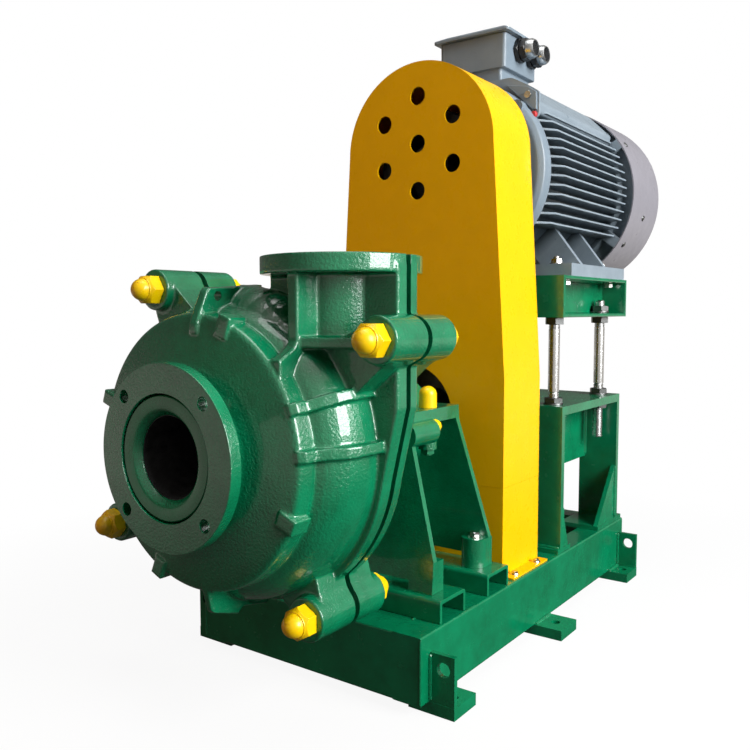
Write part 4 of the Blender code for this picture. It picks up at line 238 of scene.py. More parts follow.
class PumpColours(bpy.types.PropertyGroup):
    """Colours of the paints, metals and plastics."""

    enamel: FloatVectorProperty(
        name="Pump enamel", description="Alkyd enamel on the pump and steelwork",
        subtype="COLOR", size=3, min=0.0, max=1.0, default=linear("#047E53"))
    enamel_deep: FloatVectorProperty(
        name="Pooled enamel", description="Where the enamel lies thick in corners",
        subtype="COLOR", size=3, min=0.0, max=1.0, default=linear("#035F3B"))
    guard: FloatVectorProperty(
        name="Guard enamel", description="Yellow enamel on the belt guard",
        subtype="COLOR", size=3, min=0.0, max=1.0, default=linear("#FFBE00"))
    caps: FloatVectorProperty(
        name="Cap plastic", description="Polyethylene of the bolt caps",
        subtype="COLOR", size=3, min=0.0, max=1.0, default=linear("#FFD000"))
    motor: FloatVectorProperty(
        name="Motor paint", description="Blue-grey paint on the motor castings",
        subtype="COLOR", size=3, min=0.0, max=1.0, default=linear("#7C8B97"))
    cowl: FloatVectorProperty(
        name="Cowl paint", description="Grey powder coat on the fan cowl",
        subtype="COLOR", size=3, min=0.0, max=1.0, default=linear("#8F8D95"))


class PumpCasting(bpy.types.PropertyGroup):
    """How the cast pieces are formed."""

    grid: FloatProperty(
        name="Casting grid", description="Cell size in which cast shapes run into each other",
        subtype="DISTANCE", min=0.001, max=0.006, default=0.0016)
    rounding: IntProperty(
        name="Rounding", description="Smoothing passes that make the cast fillets",
        min=0, max=40, default=5)
    edge: FloatProperty(
        name="Plate edge", description="Rounding that paint leaves on a plate's edge",
        subtype="DISTANCE", min=0.0, max=0.004, default=0.0009)
    grain: FloatProperty(
        name="Sand grain", description="Size of the lumps that moulding sand leaves under the paint",
        subtype="DISTANCE", min=0.0005, max=0.01, default=0.0032)


class PumpStage(bpy.types.PropertyGroup):
    """The floor and the light."""

    key_power: FloatProperty(
        name="Key light", description="Power of the large lamp on the discharge side",
        subtype="POWER", min=0.0, max=400.0, default=165.0)
    top_power: FloatProperty(
        name="Top light", description="Power of the lamp above",
        subtype="POWER", min=0.0, max=400.0, default=24.0)
    front_power: FloatProperty(
        name="Front light", description="Power of the weak lamp before the suction side",
        subtype="POWER", min=0.0, max=400.0, default=15.0)
    sky: FloatProperty(
        name="Sky", description="Strength of the even light from all round", min=0.0, max=2.0, default=0.050)
    floor_lift: FloatProperty(
        name="Floor lift", description="How much of the shadow on the floor is lifted to white",
        subtype="FACTOR", min=0.0, max=1.0, default=0.92)
    glints: FloatProperty(
        name="Glints", description="Brightness of the room as the gloss of the paint mirrors it",
        min=0.0, max=2.0, default=0.55)


def colours():
    """The colour settings."""
    return bpy.context.scene.pump_colours


def casting():
    """The casting settings."""
    return bpy.context.scene.pump_casting


# Shapes


def to_object(bm, name):
    """Turns a bmesh into an object with its faces pointing out."""
    bmesh.ops.recalc_face_normals(bm, faces=bm.faces)
    mesh = bpy.data.meshes.new(name)
    bm.to_mesh(mesh)
    bm.free()
    obj = bpy.data.objects.new(name, mesh)
    bpy.context.scene.collection.objects.link(obj)
    return obj


def settle(obj):
    """Applies an object's modifiers."""
    bpy.context.view_layer.update()
    graph = bpy.context.evaluated_depsgraph_get()
    mesh = bpy.data.meshes.new_from_object(obj.evaluated_get(graph), depsgraph=graph)
    obj.modifiers.clear()
    old = obj.data
    obj.data = mesh
    bpy.data.meshes.remove(old)
    return obj


def softened(points, radius, steps=4, closed=False):
    """Rounds the corners of a polyline of (u, v) points."""
    count = len(points)
    result = []
    for index, point in enumerate(points):
        if not closed and index in (0, count - 1):
            result.append(tuple(point))
            continue
        here = Vector(point)
        before, after = Vector(points[index - 1]), Vector(points[(index + 1) % count])
        reach = min(radius, (before - here).length * 0.45, (after - here).length * 0.45)
        start = here + (before - here).normalized() * reach
        end = here + (after - here).normalized() * reach
        for step in range(steps + 1):
            t = step / steps
            result.append(tuple(start * (1 - t) ** 2 + here * 2 * t * (1 - t) + end * t ** 2))
    return result


def lathe(rows, middle, sides=96, bore=()):
    """Turns a profile of (distance along Y, radius) round an axis along Y; bore is its inner profile."""
    loop = list(rows) + list(reversed(bore))
    if not bore:
        loop = [(rows[0][0], 0.0)] + loop + [(rows[-1][0], 0.0)]
    bm = bmesh.new()
    verts = [bm.verts.new((radius, along, 0.0)) for along, radius in loop]
    pairs = list(zip(verts, verts[1:]))
    if bore:
        pairs.append((verts[-1], verts[0]))
    edges = [bm.edges.new(pair) for pair in pairs]
    bmesh.ops.spin(
        bm, geom=verts + edges, cent=(0, 0, 0), axis=(0, 1, 0), angle=FULL_TURN, steps=sides, use_merge=True)
    bmesh.ops.remove_doubles(bm, verts=bm.verts, dist=1e-6)
    bmesh.ops.transform(bm, matrix=Matrix.Translation(middle), verts=bm.verts)
    return to_object(bm, "lathe")


def slab(points, low, high, facing="Y"):
    """A flat outline given a thickness: (x, z) facing Y, (station, z) facing X, (x, station) facing Z."""
    bm = bmesh.new()
    face = bm.faces.new([bm.verts.new((u, v, 0.0)) for u, v in points])
    made = bmesh.ops.extrude_face_region(bm, geom=[face])["geom"]
    bmesh.ops.translate(bm, vec=(0, 0, 1), verts=[g for g in made if isinstance(g, bmesh.types.BMVert)])
    span = high - low
    frames = {
        "Y": ((1, 0, 0, 0), (0, 0, span, low - MIDDLE), (0, 1, 0, 0), (0, 0, 0, 1)),
        "X": ((0, 0, span, low), (1, 0, 0, -MIDDLE), (0, 1, 0, 0), (0, 0, 0, 1)),
        "Z": ((1, 0, 0, 0), (0, 1, 0, -MIDDLE), (0, 0, span, low), (0, 0, 0, 1)),
    }
    bmesh.ops.transform(bm, matrix=Matrix(frames[facing]), verts=bm.verts)
    return to_object(bm, "slab")


def brick(low, high):
    """A box between two corners, each (x, station, z)."""
    low, high = at(*low), at(*high)
    bm = bmesh.new()
    bmesh.ops.create_cube(bm, size=1.0)
    size = Vector([abs(h - l) for l, h in zip(low, high)])
    move = Matrix.Translation((low + high) / 2) @ Matrix.Diagonal(size).to_4x4()
    bmesh.ops.transform(bm, matrix=move, verts=bm.verts)
    return to_object(bm, "brick")


def rod(start, end, radius, sides=48):
    """A round bar between two places (x, station, z)."""
    start, end = at(*start), at(*end)
    along = end - start
    bm = bmesh.new()
    bmesh.ops.create_cone(bm, cap_ends=True, segments=sides, radius1=radius, radius2=radius,
                          depth=along.length)
    aim = along.to_track_quat("Z", "Y").to_matrix().to_4x4()
    bmesh.ops.transform(bm, matrix=Matrix.Translation((start + end) / 2) @ aim, verts=bm.verts)
    return to_object(bm, "rod")


def spun(rows, start, direction, sides=48, bore=()):
    """A turned shape whose axis runs from a place (x, station, z) in a direction."""
    piece = lathe(rows, Vector(), sides=sides, bore=bore)
    aim = Vector(direction).to_track_quat("Y", "Z").to_matrix().to_4x4()
    piece.data.transform(Matrix.Translation(at(*start)) @ aim)
    return piece


def gathered(shapes):
    """Puts shapes into one object without joining their surfaces."""
    bm = bmesh.new()
    for piece in shapes:
        bm.from_mesh(piece.data)
        bpy.data.objects.remove(piece, do_unlink=True)
    mesh = bpy.data.meshes.new("shape")
    bm.to_mesh(mesh)
    bm.free()
    obj = bpy.data.objects.new("shape", mesh)
    bpy.context.scene.collection.objects.link(obj)
    return obj


def cast(shapes):
    """Runs shapes into one body with soft fillets, as a sand casting has."""
    piece = gathered(shapes)
    remesh = piece.modifiers.new("cast", "REMESH")
    remesh.mode = "VOXEL"
    remesh.voxel_size = casting().grid
    remesh.use_smooth_shade = True
    smooth = piece.modifiers.new("fillets", "SMOOTH")
    smooth.factor = 0.5
    smooth.iterations = casting().rounding
    return settle(piece)


def combined(base, shapes, operation, solver="MANIFOLD"):
    """One Boolean with each shape in turn, tried again with the exact solver if nothing changed."""
    for piece in shapes:
        before = len(base.data.vertices)
        for kind in (solver, "EXACT"):
            modifier = base.modifiers.new("shape", "BOOLEAN")
            modifier.operation = operation
            modifier.solver = kind
            modifier.object = piece
            settle(base)
            if len(base.data.vertices) != before:
                break
        bpy.data.objects.remove(piece, do_unlink=True)
    return base


def joined(base, *shapes):
    """Welds shapes into one body with crisp corners."""
    return combined(base, shapes, "UNION", "EXACT")


def carved(base, *shapes):
    """Cuts shapes out of a body."""
    return combined(base, shapes, "DIFFERENCE")


def eased(piece, width=None, segments=2, angle=32):
    """Rounds the sharp edges a little, as paint and filing leave them."""
    bevel = piece.modifiers.new("edges", "BEVEL")
    bevel.width = casting().edge if width is None else width
    bevel.segments = segments
    bevel.limit_method = "ANGLE"
    bevel.angle_limit = math.radians(angle)
    bevel.miter_outer = "MITER_ARC"
    bevel.use_clamp_overlap = True
    return settle(piece)


def bead(points, radius, ripple=0.0030, depth=0.16):
    """A weld bead along points (x, station, z), rippled where each puddle froze."""
    curve = bpy.data.curves.new("bead", "CURVE")
    curve.dimensions = "3D"
    curve.bevel_depth = radius
    curve.bevel_resolution = 2
    curve.use_fill_caps = True
    places = [at(*p) for p in points]
    for first, second in zip(places, places[1:]):
        length = (second - first).length
        count = max(int(length / (ripple / 3)), 2)
        spline = curve.splines.new("POLY")
        spline.points.add(count)
        for index, spot in enumerate(spline.points):
            share = index / count
            spot.co = (*first.lerp(second, share), 1.0)
            wave = math.sin(FULL_TURN * share * length / ripple)
            ends = min(share, 1 - share) * length / radius
            spot.radius = (1 - depth / 2 + depth * wave / 2) * min(1.0, 0.55 + ends)
    obj = bpy.data.objects.new("bead", curve)
    bpy.context.scene.collection.objects.link(obj)
    bpy.context.view_layer.update()
    graph = bpy.context.evaluated_depsgraph_get()
    mesh = bpy.data.meshes.new_from_object(obj.evaluated_get(graph), depsgraph=graph)
    bpy.data.objects.remove(obj, do_unlink=True)
    piece = bpy.data.objects.new("bead", mesh)
    bpy.context.scene.collection.objects.link(piece)
    return piece


def shown(piece, name, material, body, nodes=(), angle=38):
    """Names a finished piece, gives it its material and lets it ride on its body."""
    piece.name = name
    piece.data.name = name
    piece.data.materials.clear()
    piece.data.materials.append(material)
    piece.data.shade_smooth()
    piece.data.set_sharp_from_angle(angle=math.radians(angle))
    level = piece.modifiers.new("flat_faces", "WEIGHTED_NORMAL")
    level.keep_sharp = True
    settle(piece)
    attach(piece, body)
    if nodes:
        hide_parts(*nodes)
    return piece


def arc(middle, radius, start, end, steps):
    """Points along an arc, both ends included."""
    turns = [start + (end - start) * step / steps for step in range(steps + 1)]
    return [(middle[0] + radius * math.cos(a), middle[1] + radius * math.sin(a)) for a in turns]


def round_shaft(radius, angle):
    """The x and z of a place round the pump shaft."""
    return radius * math.cos(angle), SHAFT_Z + radius * math.sin(angle)


def hexagon(x, station, z, direction, flat, height):
    """A hexagon nut or head with its corners turned off; flat is half its width across the flats."""
    corner = flat / math.cos(math.pi / 6)
    rise = (corner - flat) * 1.1
    body = spun([(0, corner), (height, corner)], (x, station, z), direction, sides=6)
    face, past = flat * 1.036, corner * 1.001
    trim = [(-OVERRUN, flat), (0, face), (rise * 0.6, past), (height - rise * 0.6, past), (height, face),
            (height + OVERRUN, flat)]
    skin = spun(trim, (x, station, z), direction, sides=48)
    return combined(body, [skin], "INTERSECT", "EXACT")


def washer(x, station, z, direction, radius, height, hole):
    """A flat washer."""
    return spun([(0, radius), (height * 0.7, radius), (height, radius * 0.98)], (x, station, z), direction,
                sides=40, bore=[(0, hole), (height, hole)])


# Materials. The widths are of the patches in which paint pools and its gloss changes.

POOL_WIDTH = 0.045
GLOSS_WIDTH = 0.018
PAINT_IOR = 1.5
COAT_ROUGHNESS = 0.045


def add_node(tree, kind, links=(), **values):
    """Adds a node, sets its fields and inputs, and links its inputs."""
    node = tree.nodes.new(kind)
    for name, value in values.items():
        if name.startswith("in_"):
            key = name[3:]
            socket = node.inputs[int(key)] if key.isdigit() else node.inputs[key.replace("_", " ")]
            socket.default_value = value
        else:
            setattr(node, name, value)
    for target, source in dict(links).items():
        tree.links.new(source, node.inputs[target])
    return node


def new_material(name):
    """An empty material with its tree, its shader and its surface coordinates in metres."""
    material = bpy.data.materials.new(name)
    material.use_nodes = True
    tree = material.node_tree
    shader = tree.nodes["Principled BSDF"]
    place = add_node(tree, "ShaderNodeTexCoord").outputs["Object"]
    return material, tree, shader, place


def noise(tree, place, size, detail=3.0, roughness=0.5):
    """Noise whose lumps are about size across, in metres."""
    return add_node(
        tree, "ShaderNodeTexNoise", {"Vector": place}, in_Scale=1 / size, in_Detail=detail,
        in_Roughness=roughness
    ).outputs["Fac"]


def spread(tree, value, low, high, to_low, to_high):
    """Maps a value from one range to another."""
    return add_node(
        tree, "ShaderNodeMapRange", {"Value": value}, in_From_Min=low, in_From_Max=high, in_To_Min=to_low,
        in_To_Max=to_high
    ).outputs["Result"]


def blended(tree, share, first, second):
    """Mixes two colours by a share."""
    mix = add_node(tree, "ShaderNodeMix", data_type="RGBA")
    tree.links.new(share, mix.inputs["Factor"])
    for socket, colour in zip(("A", "B"), (first, second)):
        target = [s for s in mix.inputs if s.name == socket and s.type == "RGBA"][0]
        if isinstance(colour, bpy.types.NodeSocket):
            tree.links.new(colour, target)
        else:
            target.default_value = (*colour, 1.0)
    return [s for s in mix.outputs if s.type == "RGBA"][0]


def bumped(tree, shader, layers):
    """Stacks bump layers of (height, depth in metres)."""
    normal = None
    for height, depth in layers:
        links = {"Height": height}
        if normal is not None:
            links["Normal"] = normal
        normal = add_node(tree, "ShaderNodeBump", links, in_Distance=depth, in_Strength=1.0).outputs["Normal"]
    tree.links.new(normal, shader.inputs["Normal"])


def darker(colour, share):
    """A colour with less light in it."""
    return tuple(value * share for value in colour)


def painted(name, colour, deep, roughness, grain, peel, coat=0.0, hollow=None):
    """Paint over metal: pooled colour, uneven gloss, the metal's grain and the paint's own orange peel.

    grain and peel are each the width and the depth of their lumps, in metres. hollow, an inner and an
    outer radius from the motor's axis and a colour, darkens the paint between the fins as painted shade.
    """
    material, tree, shader, place = new_material(name)
    pools = noise(tree, place, POOL_WIDTH, 4.0, 0.6)
    share = spread(tree, pools, 0.35, 0.70, 0.0, 0.65)
    tone = blended(tree, share, colour, deep)
    # Painted shade: the paint darkens towards the motor's axis, between the fins, where shade falls.
    if hollow is not None:
        low, high, painted_shade_colour = hollow
        axis_place, across_axis = (MOTOR_X, 0.0, MOTOR_Z), (1.0, 0.0, 1.0)
        away = add_node(tree, "ShaderNodeVectorMath", {0: place}, operation="SUBTRACT", in_1=axis_place)
        level = add_node(
            tree, "ShaderNodeVectorMath", {0: away.outputs["Vector"]}, operation="MULTIPLY", in_1=across_axis)
        radius = add_node(tree, "ShaderNodeVectorMath", {0: level.outputs["Vector"]}, operation="LENGTH")
        tone = blended(tree, spread(tree, radius.outputs["Value"], low, high, 0.0, 1.0), painted_shade_colour, tone)
    tree.links.new(tone, shader.inputs["Base Color"])
    gloss = noise(tree, place, GLOSS_WIDTH, 3.0, 0.6)
    tree.links.new(spread(tree, gloss, 0.3, 0.7, roughness * 0.75, roughness * 1.3),
                   shader.inputs["Roughness"])
    bumped(tree, shader, [
        (noise(tree, place, grain[0], 3.0, 0.55), grain[1]),
        (noise(tree, place, peel[0], 1.0, 0.4), peel[1]),
    ])
    shader.inputs["IOR"].default_value = PAINT_IOR
    shader.inputs["Coat Weight"].default_value = coat
    shader.inputs["Coat Roughness"].default_value = COAT_ROUGHNESS
    return material


def metal(name, colour, roughness, line, line_depth, tint=None):
    """Bare or plated metal with fine working marks; line is their width, tint the colour of its patches."""
    material, tree, shader, place = new_material(name)
    patches = noise(tree, place, 0.012, 4.0, 0.6)
    tone = blended(tree, spread(tree, patches, 0.35, 0.7, 0.0, 1.0), colour, tint or darker(colour, 0.78))
    tree.links.new(tone, shader.inputs["Base Color"])
    tree.links.new(spread(tree, patches, 0.3, 0.7, roughness * 0.8, roughness * 1.25),
                   shader.inputs["Roughness"])
    shader.inputs["Metallic"].default_value = 1.0
    bumped(tree, shader, [(noise(tree, place, line, 2.0, 0.5), line_depth)])
    return material


def plastic(name, colour, roughness, subsurface=0.0):
    """Moulded plastic: even colour, faint flow marks and a slightly soft surface."""
    material, tree, shader, place = new_material(name)
    flow = noise(tree, place, 0.010, 2.0, 0.5)
    tone = blended(tree, spread(tree, flow, 0.3, 0.7, 0.0, 0.6), colour, darker(colour, 0.90))
    tree.links.new(tone, shader.inputs["Base Color"])
    tree.links.new(spread(tree, flow, 0.3, 0.7, roughness * 0.85, roughness * 1.2),
                   shader.inputs["Roughness"])
    shader.inputs["IOR"].default_value = PAINT_IOR
    if subsurface:
        shader.inputs["Subsurface Weight"].default_value = subsurface
        shader.inputs["Subsurface Radius"].default_value = (0.004, 0.003, 0.001)
        shader.inputs["Subsurface Scale"].default_value = 0.6
    bumped(tree, shader, [(noise(tree, place, 0.0012, 2.0, 0.5), 0.00001)])
    return material


def shader_of(material):
    """The material's main shader."""
    return material.node_tree.nodes["Principled BSDF"]


FINISHES = {}


def make_finishes():
    """Makes every material once."""
    c = colours()
    enamel, pooled, guard = tuple(c.enamel), tuple(c.enamel_deep), tuple(c.guard)
    motor, cowl = tuple(c.motor), tuple(c.cowl)
    # Alkyd enamel brushed over a sand casting: deep gloss broken by the lumps of the sand.
    FINISHES["cast_enamel"] = painted(
        "alkyd_enamel_on_sand_cast_iron", enamel, pooled, 0.20, (casting().grain, 0.0010),
        (0.0014, 0.00012), 0.8)
    # The same enamel over machined iron: flat and even.
    FINISHES["machined_enamel"] = painted(
        "alkyd_enamel_on_machined_iron", enamel, pooled, 0.26, (0.009, 0.00012), (0.0014, 0.00006), 0.2)
    # The same enamel sprayed over rolled plate: flat, with a slight orange peel.
    FINISHES["plate_enamel"] = painted(
        "alkyd_enamel_on_rolled_steel", enamel, pooled, 0.22, (0.020, 0.00040), (0.0018, 0.00010), 0.3)
    # Enamel over folded sheet: smooth, with long soft waves, and duller than the enamel on the pump.
    FINISHES["guard_enamel"] = painted(
        "yellow_enamel_on_sheet_steel", guard, darker(guard, 0.93), 0.30, (0.060, 0.0003), (0.0022, 0.00010))
    shader_of(FINISHES["guard_enamel"]).inputs["Specular IOR Level"].default_value = 0.25
    # Moulded polyethylene: even and a little soft, so light gets under its surface.
    FINISHES["cap_plastic"] = plastic("yellow_polyethylene_cap", tuple(c.caps), 0.30, 0.08)
    # Two-coat machinery paint over cast iron: satin, with the casting's fine sand showing.
    FINISHES["motor_enamel"] = painted(
        "machinery_paint_on_cast_iron", motor, darker(motor, 0.8), 0.38, (0.0026, 0.00035), (0.0012, 0.00006))
    # A lighter copy of the motor paint on the finned frame, a painted highlight on the fin tips, darkened as
    # painted shade where the fins run down into the frame.
    FINISHES["fin_enamel"] = painted(
        "machinery_paint_on_fins_with_painted_light_and_shade", linear("#8D9AA4"), linear("#7A8892"), 0.36, (0.0026, 0.00035),
        (0.0012, 0.00006), 0.0, (0.1390, 0.1690, linear("#2B363C")))
    # Powder coat over a spun and pressed sheet: fine even texture.
    FINISHES["cowl_coat"] = painted(
        "powder_coat_on_sheet_steel", cowl, darker(cowl, 0.9), 0.36, (0.030, 0.00030), (0.0010, 0.00004))
    # Zinc plate: bright, with the faint yellow patches of its passivation.
    FINISHES["zinc"] = metal("zinc_plated_steel", linear("#C9CCD0"), 0.24, 0.0009, 0.00003, linear("#B7B4A6"))
    # Drawn bar: brighter and smoother than the plated nuts, with faint marks along it.
    FINISHES["bright_rod"] = metal("bright_drawn_steel", linear("#D6D8DA"), 0.26, 0.0012, 0.000006,
                                   linear("#C4C5C4"))
    # Nuts and screws with a black oxide skin: dark and half dull.
    FINISHES["black_steel"] = metal("blackened_steel", linear("#6A6C6C"), 0.38, 0.0010, 0.00003)
    # Unpainted castings and turned bronze inside the pump and the guard.
    FINISHES["iron"] = metal("bare_cast_iron", linear("#6E6F70"), 0.55, 0.0018, 0.00012)
    FINISHES["bronze"] = metal("gunmetal_bronze", linear("#B98F4A"), 0.34, 0.0010, 0.00004)
    # Turned and plated brass of the cable glands' nuts.
    FINISHES["nickel"] = metal("nickel_plated_brass", linear("#BFC3C6"), 0.28, 0.0010, 0.00003)
    # Rubber and nylon: black, dull and even.
    FINISHES["rubber"] = plastic("natural_rubber_lining", linear("#101011"), 0.62)
    FINISHES["nylon"] = plastic("black_nylon", linear("#17181A"), 0.45)
    FINISHES["red_plastic"] = plastic("red_plug_plastic", linear("#C4363B"), 0.35)


# Pump casing


def volute_share(angle):
    """How far round from the cutwater a place is, easing back over the branch."""
    turn = ((angle - CUTWATER) % FULL_TURN) / FULL_TURN
    return turn / SPIRAL_RISE if turn <= SPIRAL_RISE else (1 - turn) / (1 - SPIRAL_RISE)


def spiralled(piece, start_radius, full_radius):
    """Moves a shell's rim so that it grows from the cutwater to the branch."""
    for vertex in piece.data.vertices:
        x, z = vertex.co.x, vertex.co.z - SHAFT_Z
        radius = math.hypot(x, z)
        if radius <= start_radius:
            continue
        weight = min((radius - start_radius) / (full_radius - start_radius), 1.0)
        angle = math.atan2(z, x)
        grown = radius - GROWTH * weight * (1 - volute_share(angle))
        vertex.co.x, vertex.co.z = grown * math.cos(angle), SHAFT_Z + grown * math.sin(angle)
    return piece


def rim_outline(steps=120):
    """The rim of a casing half: the spiral, running up into the plate of the branch."""
    left, right = BRANCH_X - BRANCH_HALF, BRANCH_X + BRANCH_HALF
    top = BRANCH_TOP - BRANCH_T / 2
    start, end = math.radians(-8), math.radians(-278)
    points = []
    for step in range(steps + 1):
        angle = start + (end - start) * step / steps
        points.append(round_shaft(RIM_R - GROWTH * (1 - volute_share(angle)), angle))
    points += [(left, SHAFT_Z + RIM_R * 0.94), (left, top), (right, top), (right, SHAFT_Z + RIM_R * 0.28)]
    return points


def lug_place(index):
    """The x and z of a casing lug."""
    return round_shaft(LUG_CIRCLE * LUG_SHARES[index], LUG_ANGLES[index])


def lug_arm(index, start, end):
    """The web from a lug down into the casing."""
    angle = LUG_ANGLES[index]
    far, near = LUG_CIRCLE * LUG_SHARES[index], BULGE_R * 0.86
    tip, root = LUG_R * 0.97, LUG_R * 1.45
    cos, sin = math.cos(angle), math.sin(angle)
    corners = ((near, -root), (far * 0.93, -tip), (far, -tip), (far, tip), (far * 0.93, tip), (near, root))
    return slab([(u * cos - v * sin, SHAFT_Z + u * sin + v * cos) for u, v in corners], start, end)


def shaft_block(angle, inner, outer, width, start, end):
    """A block that stands out from the shaft axis, between two radii and two stations."""
    piece = brick((inner, start, -width / 2), (outer, end, width / 2))
    piece.data.transform(Matrix.Rotation(-angle, 4, "Y"))
    piece.data.transform(Matrix.Translation((0, 0, SHAFT_Z)))
    return piece


def shaft_rib(angle, points, width):
    """A rib that stands out from the shaft axis, its outline given as (station, radius)."""
    piece = slab(points, -width / 2, width / 2, facing="X")
    piece.data.transform(Matrix.Rotation(math.pi / 2 - angle, 4, "Y"))
    piece.data.transform(Matrix.Translation((0, 0, SHAFT_Z)))
    return piece


def half_disc(radius, low, high, start, end):
    """The part of an upright disc on the branch axis between two stations."""
    disc = rod((BRANCH_X, SPLIT_MIDDLE, low), (BRANCH_X, SPLIT_MIDDLE, high), radius, 96)
    reach = radius + OVERRUN
    keep = brick((BRANCH_X - reach, start, low - OVERRUN), (BRANCH_X + reach, end, high + OVERRUN))
    return combined(disc, [keep], "INTERSECT")


def branch_shapes(front):
    """Flange, neck, centre web and shelf of one half of the discharge branch."""
    reach = BRANCH_R + OVERRUN
    start, end = (SPLIT_MIDDLE - reach, SPLIT_FRONT) if front else (SPLIT_REAR, SPLIT_MIDDLE + reach)
    low = BRANCH_TOP - BRANCH_T
    high = low + 0.002
    seat = SPLIT_FRONT - 0.001 if front else SPLIT_REAR + 0.001
    shapes = [half_disc(BRANCH_R, low, BRANCH_TOP, start, end),
              half_disc(BRANCH_NECK_R, SHAFT_Z + RING_R * 0.55, high, start, end)]
    web_low, web_high = WEB_X - WEB_HALF, WEB_X + WEB_HALF
    near = web_low + 0.002
    lug_x = lug_place(0)[0]
    if front:
        web = [(0.080, high), (0.080, SHELF_HIGH - 0.004), (0.0765, SHELF_LOW + 0.002), (0.0505, 0.4800),
               (0.0505, WEB_FOOT), (seat, WEB_FOOT), (seat, high)]
        shelf = [(near, 0.0800), (lug_x - LUG_R * 0.7, LUG_FRONT + 0.004), (lug_x, LUG_FRONT + ARM_STEP),
                 (lug_x, seat), (near, seat)]
    else:
        web = [(0.262, high), (0.262, SHELF_HIGH), (0.236, SHELF_LOW), (0.236, WEB_FOOT), (seat, WEB_FOOT),
               (seat, high)]
        shelf = [(near, 0.2620), (lug_x - LUG_R * 0.7, LUG_REAR - 0.010), (lug_x, LUG_REAR - 0.018),
                 (lug_x, seat), (near, seat)]
    shapes.append(slab(web, web_low, web_high, facing="X"))
    shapes.append(slab(shelf, SHELF_LOW, SHELF_HIGH, facing="Z"))
    return shapes


def throat(station):
    """The full round of the volute where it turns up into the branch."""
    balls = []
    for degrees, radius in THROAT_BALLS:
        x, z = round_shaft(THROAT_REACH - radius, math.radians(degrees))
        bm = bmesh.new()
        bmesh.ops.create_uvsphere(bm, u_segments=48, v_segments=32, radius=radius)
        bmesh.ops.translate(bm, vec=at(x, station, z), verts=bm.verts)
        ball = to_object(bm, "ball")
        keep = brick((-0.2, station - 0.1, 0.2), (0.4, station + 0.030, 0.8))
        balls.append(combined(ball, [keep], "INTERSECT"))
    return balls


def branch_cutters():
    """Cutters for the branch bore and its bolt holes."""
    bore_low = SHAFT_Z + 0.100
    cutters = [rod((BRANCH_X, SPLIT_MIDDLE, bore_low), (BRANCH_X, SPLIT_MIDDLE, BRANCH_TOP + OVERRUN),
                   BRANCH_BORE_R, 64)]
    for angle in (math.radians(a) for a in (45, 135, 225, 315)):
        x = BRANCH_X + BRANCH_BOLT_CIRCLE * math.cos(angle)
        station = SPLIT_MIDDLE + BRANCH_BOLT_CIRCLE * math.sin(angle)
        cutters.append(rod((x, station, BRANCH_TOP - 0.030), (x, station, BRANCH_TOP + OVERRUN),
                           BRANCH_HOLE_R, 32))
    return cutters


def above_branch():
    """A cutter that leaves the flange's top flat."""
    reach = 0.12
    return brick((BRANCH_X - reach, SPLIT_MIDDLE - reach, BRANCH_TOP),
                 (BRANCH_X + reach, SPLIT_MIDDLE + reach, BRANCH_TOP + 0.01))


def across(start, end):
    """A cutter as wide and as high as the casing, between two stations."""
    return brick((-0.35, start, -0.1), (0.40, end, 0.75))


def lug_holes():
    """Cutters for the casing bolts."""
    holes = []
    for index in range(len(LUG_ANGLES)):
        x, z = lug_place(index)
        holes.append(rod((x, LUG_FRONT - OVERRUN, z), (x, LUG_REAR + OVERRUN, z), LUG_HOLE_R, 32))
    return holes


def build_front_casting():
    """The cover half of the casing with its machined suction flange."""
    middle = Vector((0, -MIDDLE, SHAFT_Z))
    shell = spiralled(lathe(FRONT_PROFILE, middle, 160), FRONT_SPIRAL_R, BULGE_R)
    shapes = [shell, slab(rim_outline(), RIM_FRONT, SPLIT_FRONT + OVERRUN)] + branch_shapes(True)
    shapes += throat(THROAT_STATION)
    for index in range(len(LUG_ANGLES)):
        x, z = lug_place(index)
        shapes.append(rod((x, LUG_FRONT, z), (x, SPLIT_FRONT + OVERRUN, z), LUG_R, 64))
        shapes.append(lug_arm(index, LUG_FRONT + ARM_STEP, SPLIT_FRONT + OVERRUN))
    for degrees, inner in FRONT_RIBS:
        shapes.append(shaft_rib(math.radians(degrees), [(RIB_FOOT, inner), *RIB_OUTLINE], RIB_WIDTH))
    for degrees in BLOCK_ANGLES:
        shapes.append(shaft_block(math.radians(degrees), *BLOCK_REACH, BLOCK_WIDTH, *BLOCK_STATIONS))
    shapes.append(shaft_rib(math.radians(EYE_AT), EYE_OUTLINE, EYE_WIDTH))
    shapes.append(shaft_rib(math.radians(FIN_AT), FIN_OUTLINE, FIN_WIDTH))
    body = cast(shapes)
    rim = [(0.0, FLANGE_ROOT_R), (0.0, FLANGE_R), (FLANGE_T, FLANGE_R), (FLANGE_T, FLANGE_ROOT_R)]
    combined(body, [lathe(softened(rim, 0.0012, 3), middle, 144)], "UNION")
    step = 0.0006
    seat = lathe([(-OVERRUN, SEAT_R + step), (step, SEAT_R + step), (step * 2, SEAT_R), (0.0750, SEAT_R)],
                 middle, 128)
    front = 0.071
    hollow = [(front, 0.133), (front + 0.014, 0.164), (0.114, HOLLOW_R), (SPLIT_FRONT + OVERRUN, HOLLOW_R)]
    hollow = spiralled(lathe(hollow, middle, 96), HOLLOW_EYE_R, BULGE_R)
    eye_x, eye_z = round_shaft(0.1930, math.radians(EYE_AT))
    holes = [rod((eye_x - 0.02, 0.0735, eye_z), (eye_x + 0.02, 0.0735, eye_z), 0.0060, 32)]
    for quarter in range(4):
        x, z = round_shaft(SUCTION_BOLT_CIRCLE, math.radians(45 + 90 * quarter))
        holes.append(rod((x, -OVERRUN, z), (x, FLANGE_T + 0.008, z), SUCTION_HOLE_R, 40))
    bore, *branch_holes = branch_cutters()
    carved(body, across(SPLIT_FRONT, SPLIT_FRONT + 0.06), above_branch(), seat, hollow, bore,
           gathered(holes + branch_holes + lug_holes()))
    shown(body, "front_casting", FINISHES["cast_enamel"], "base", ["front_casing"], 50)


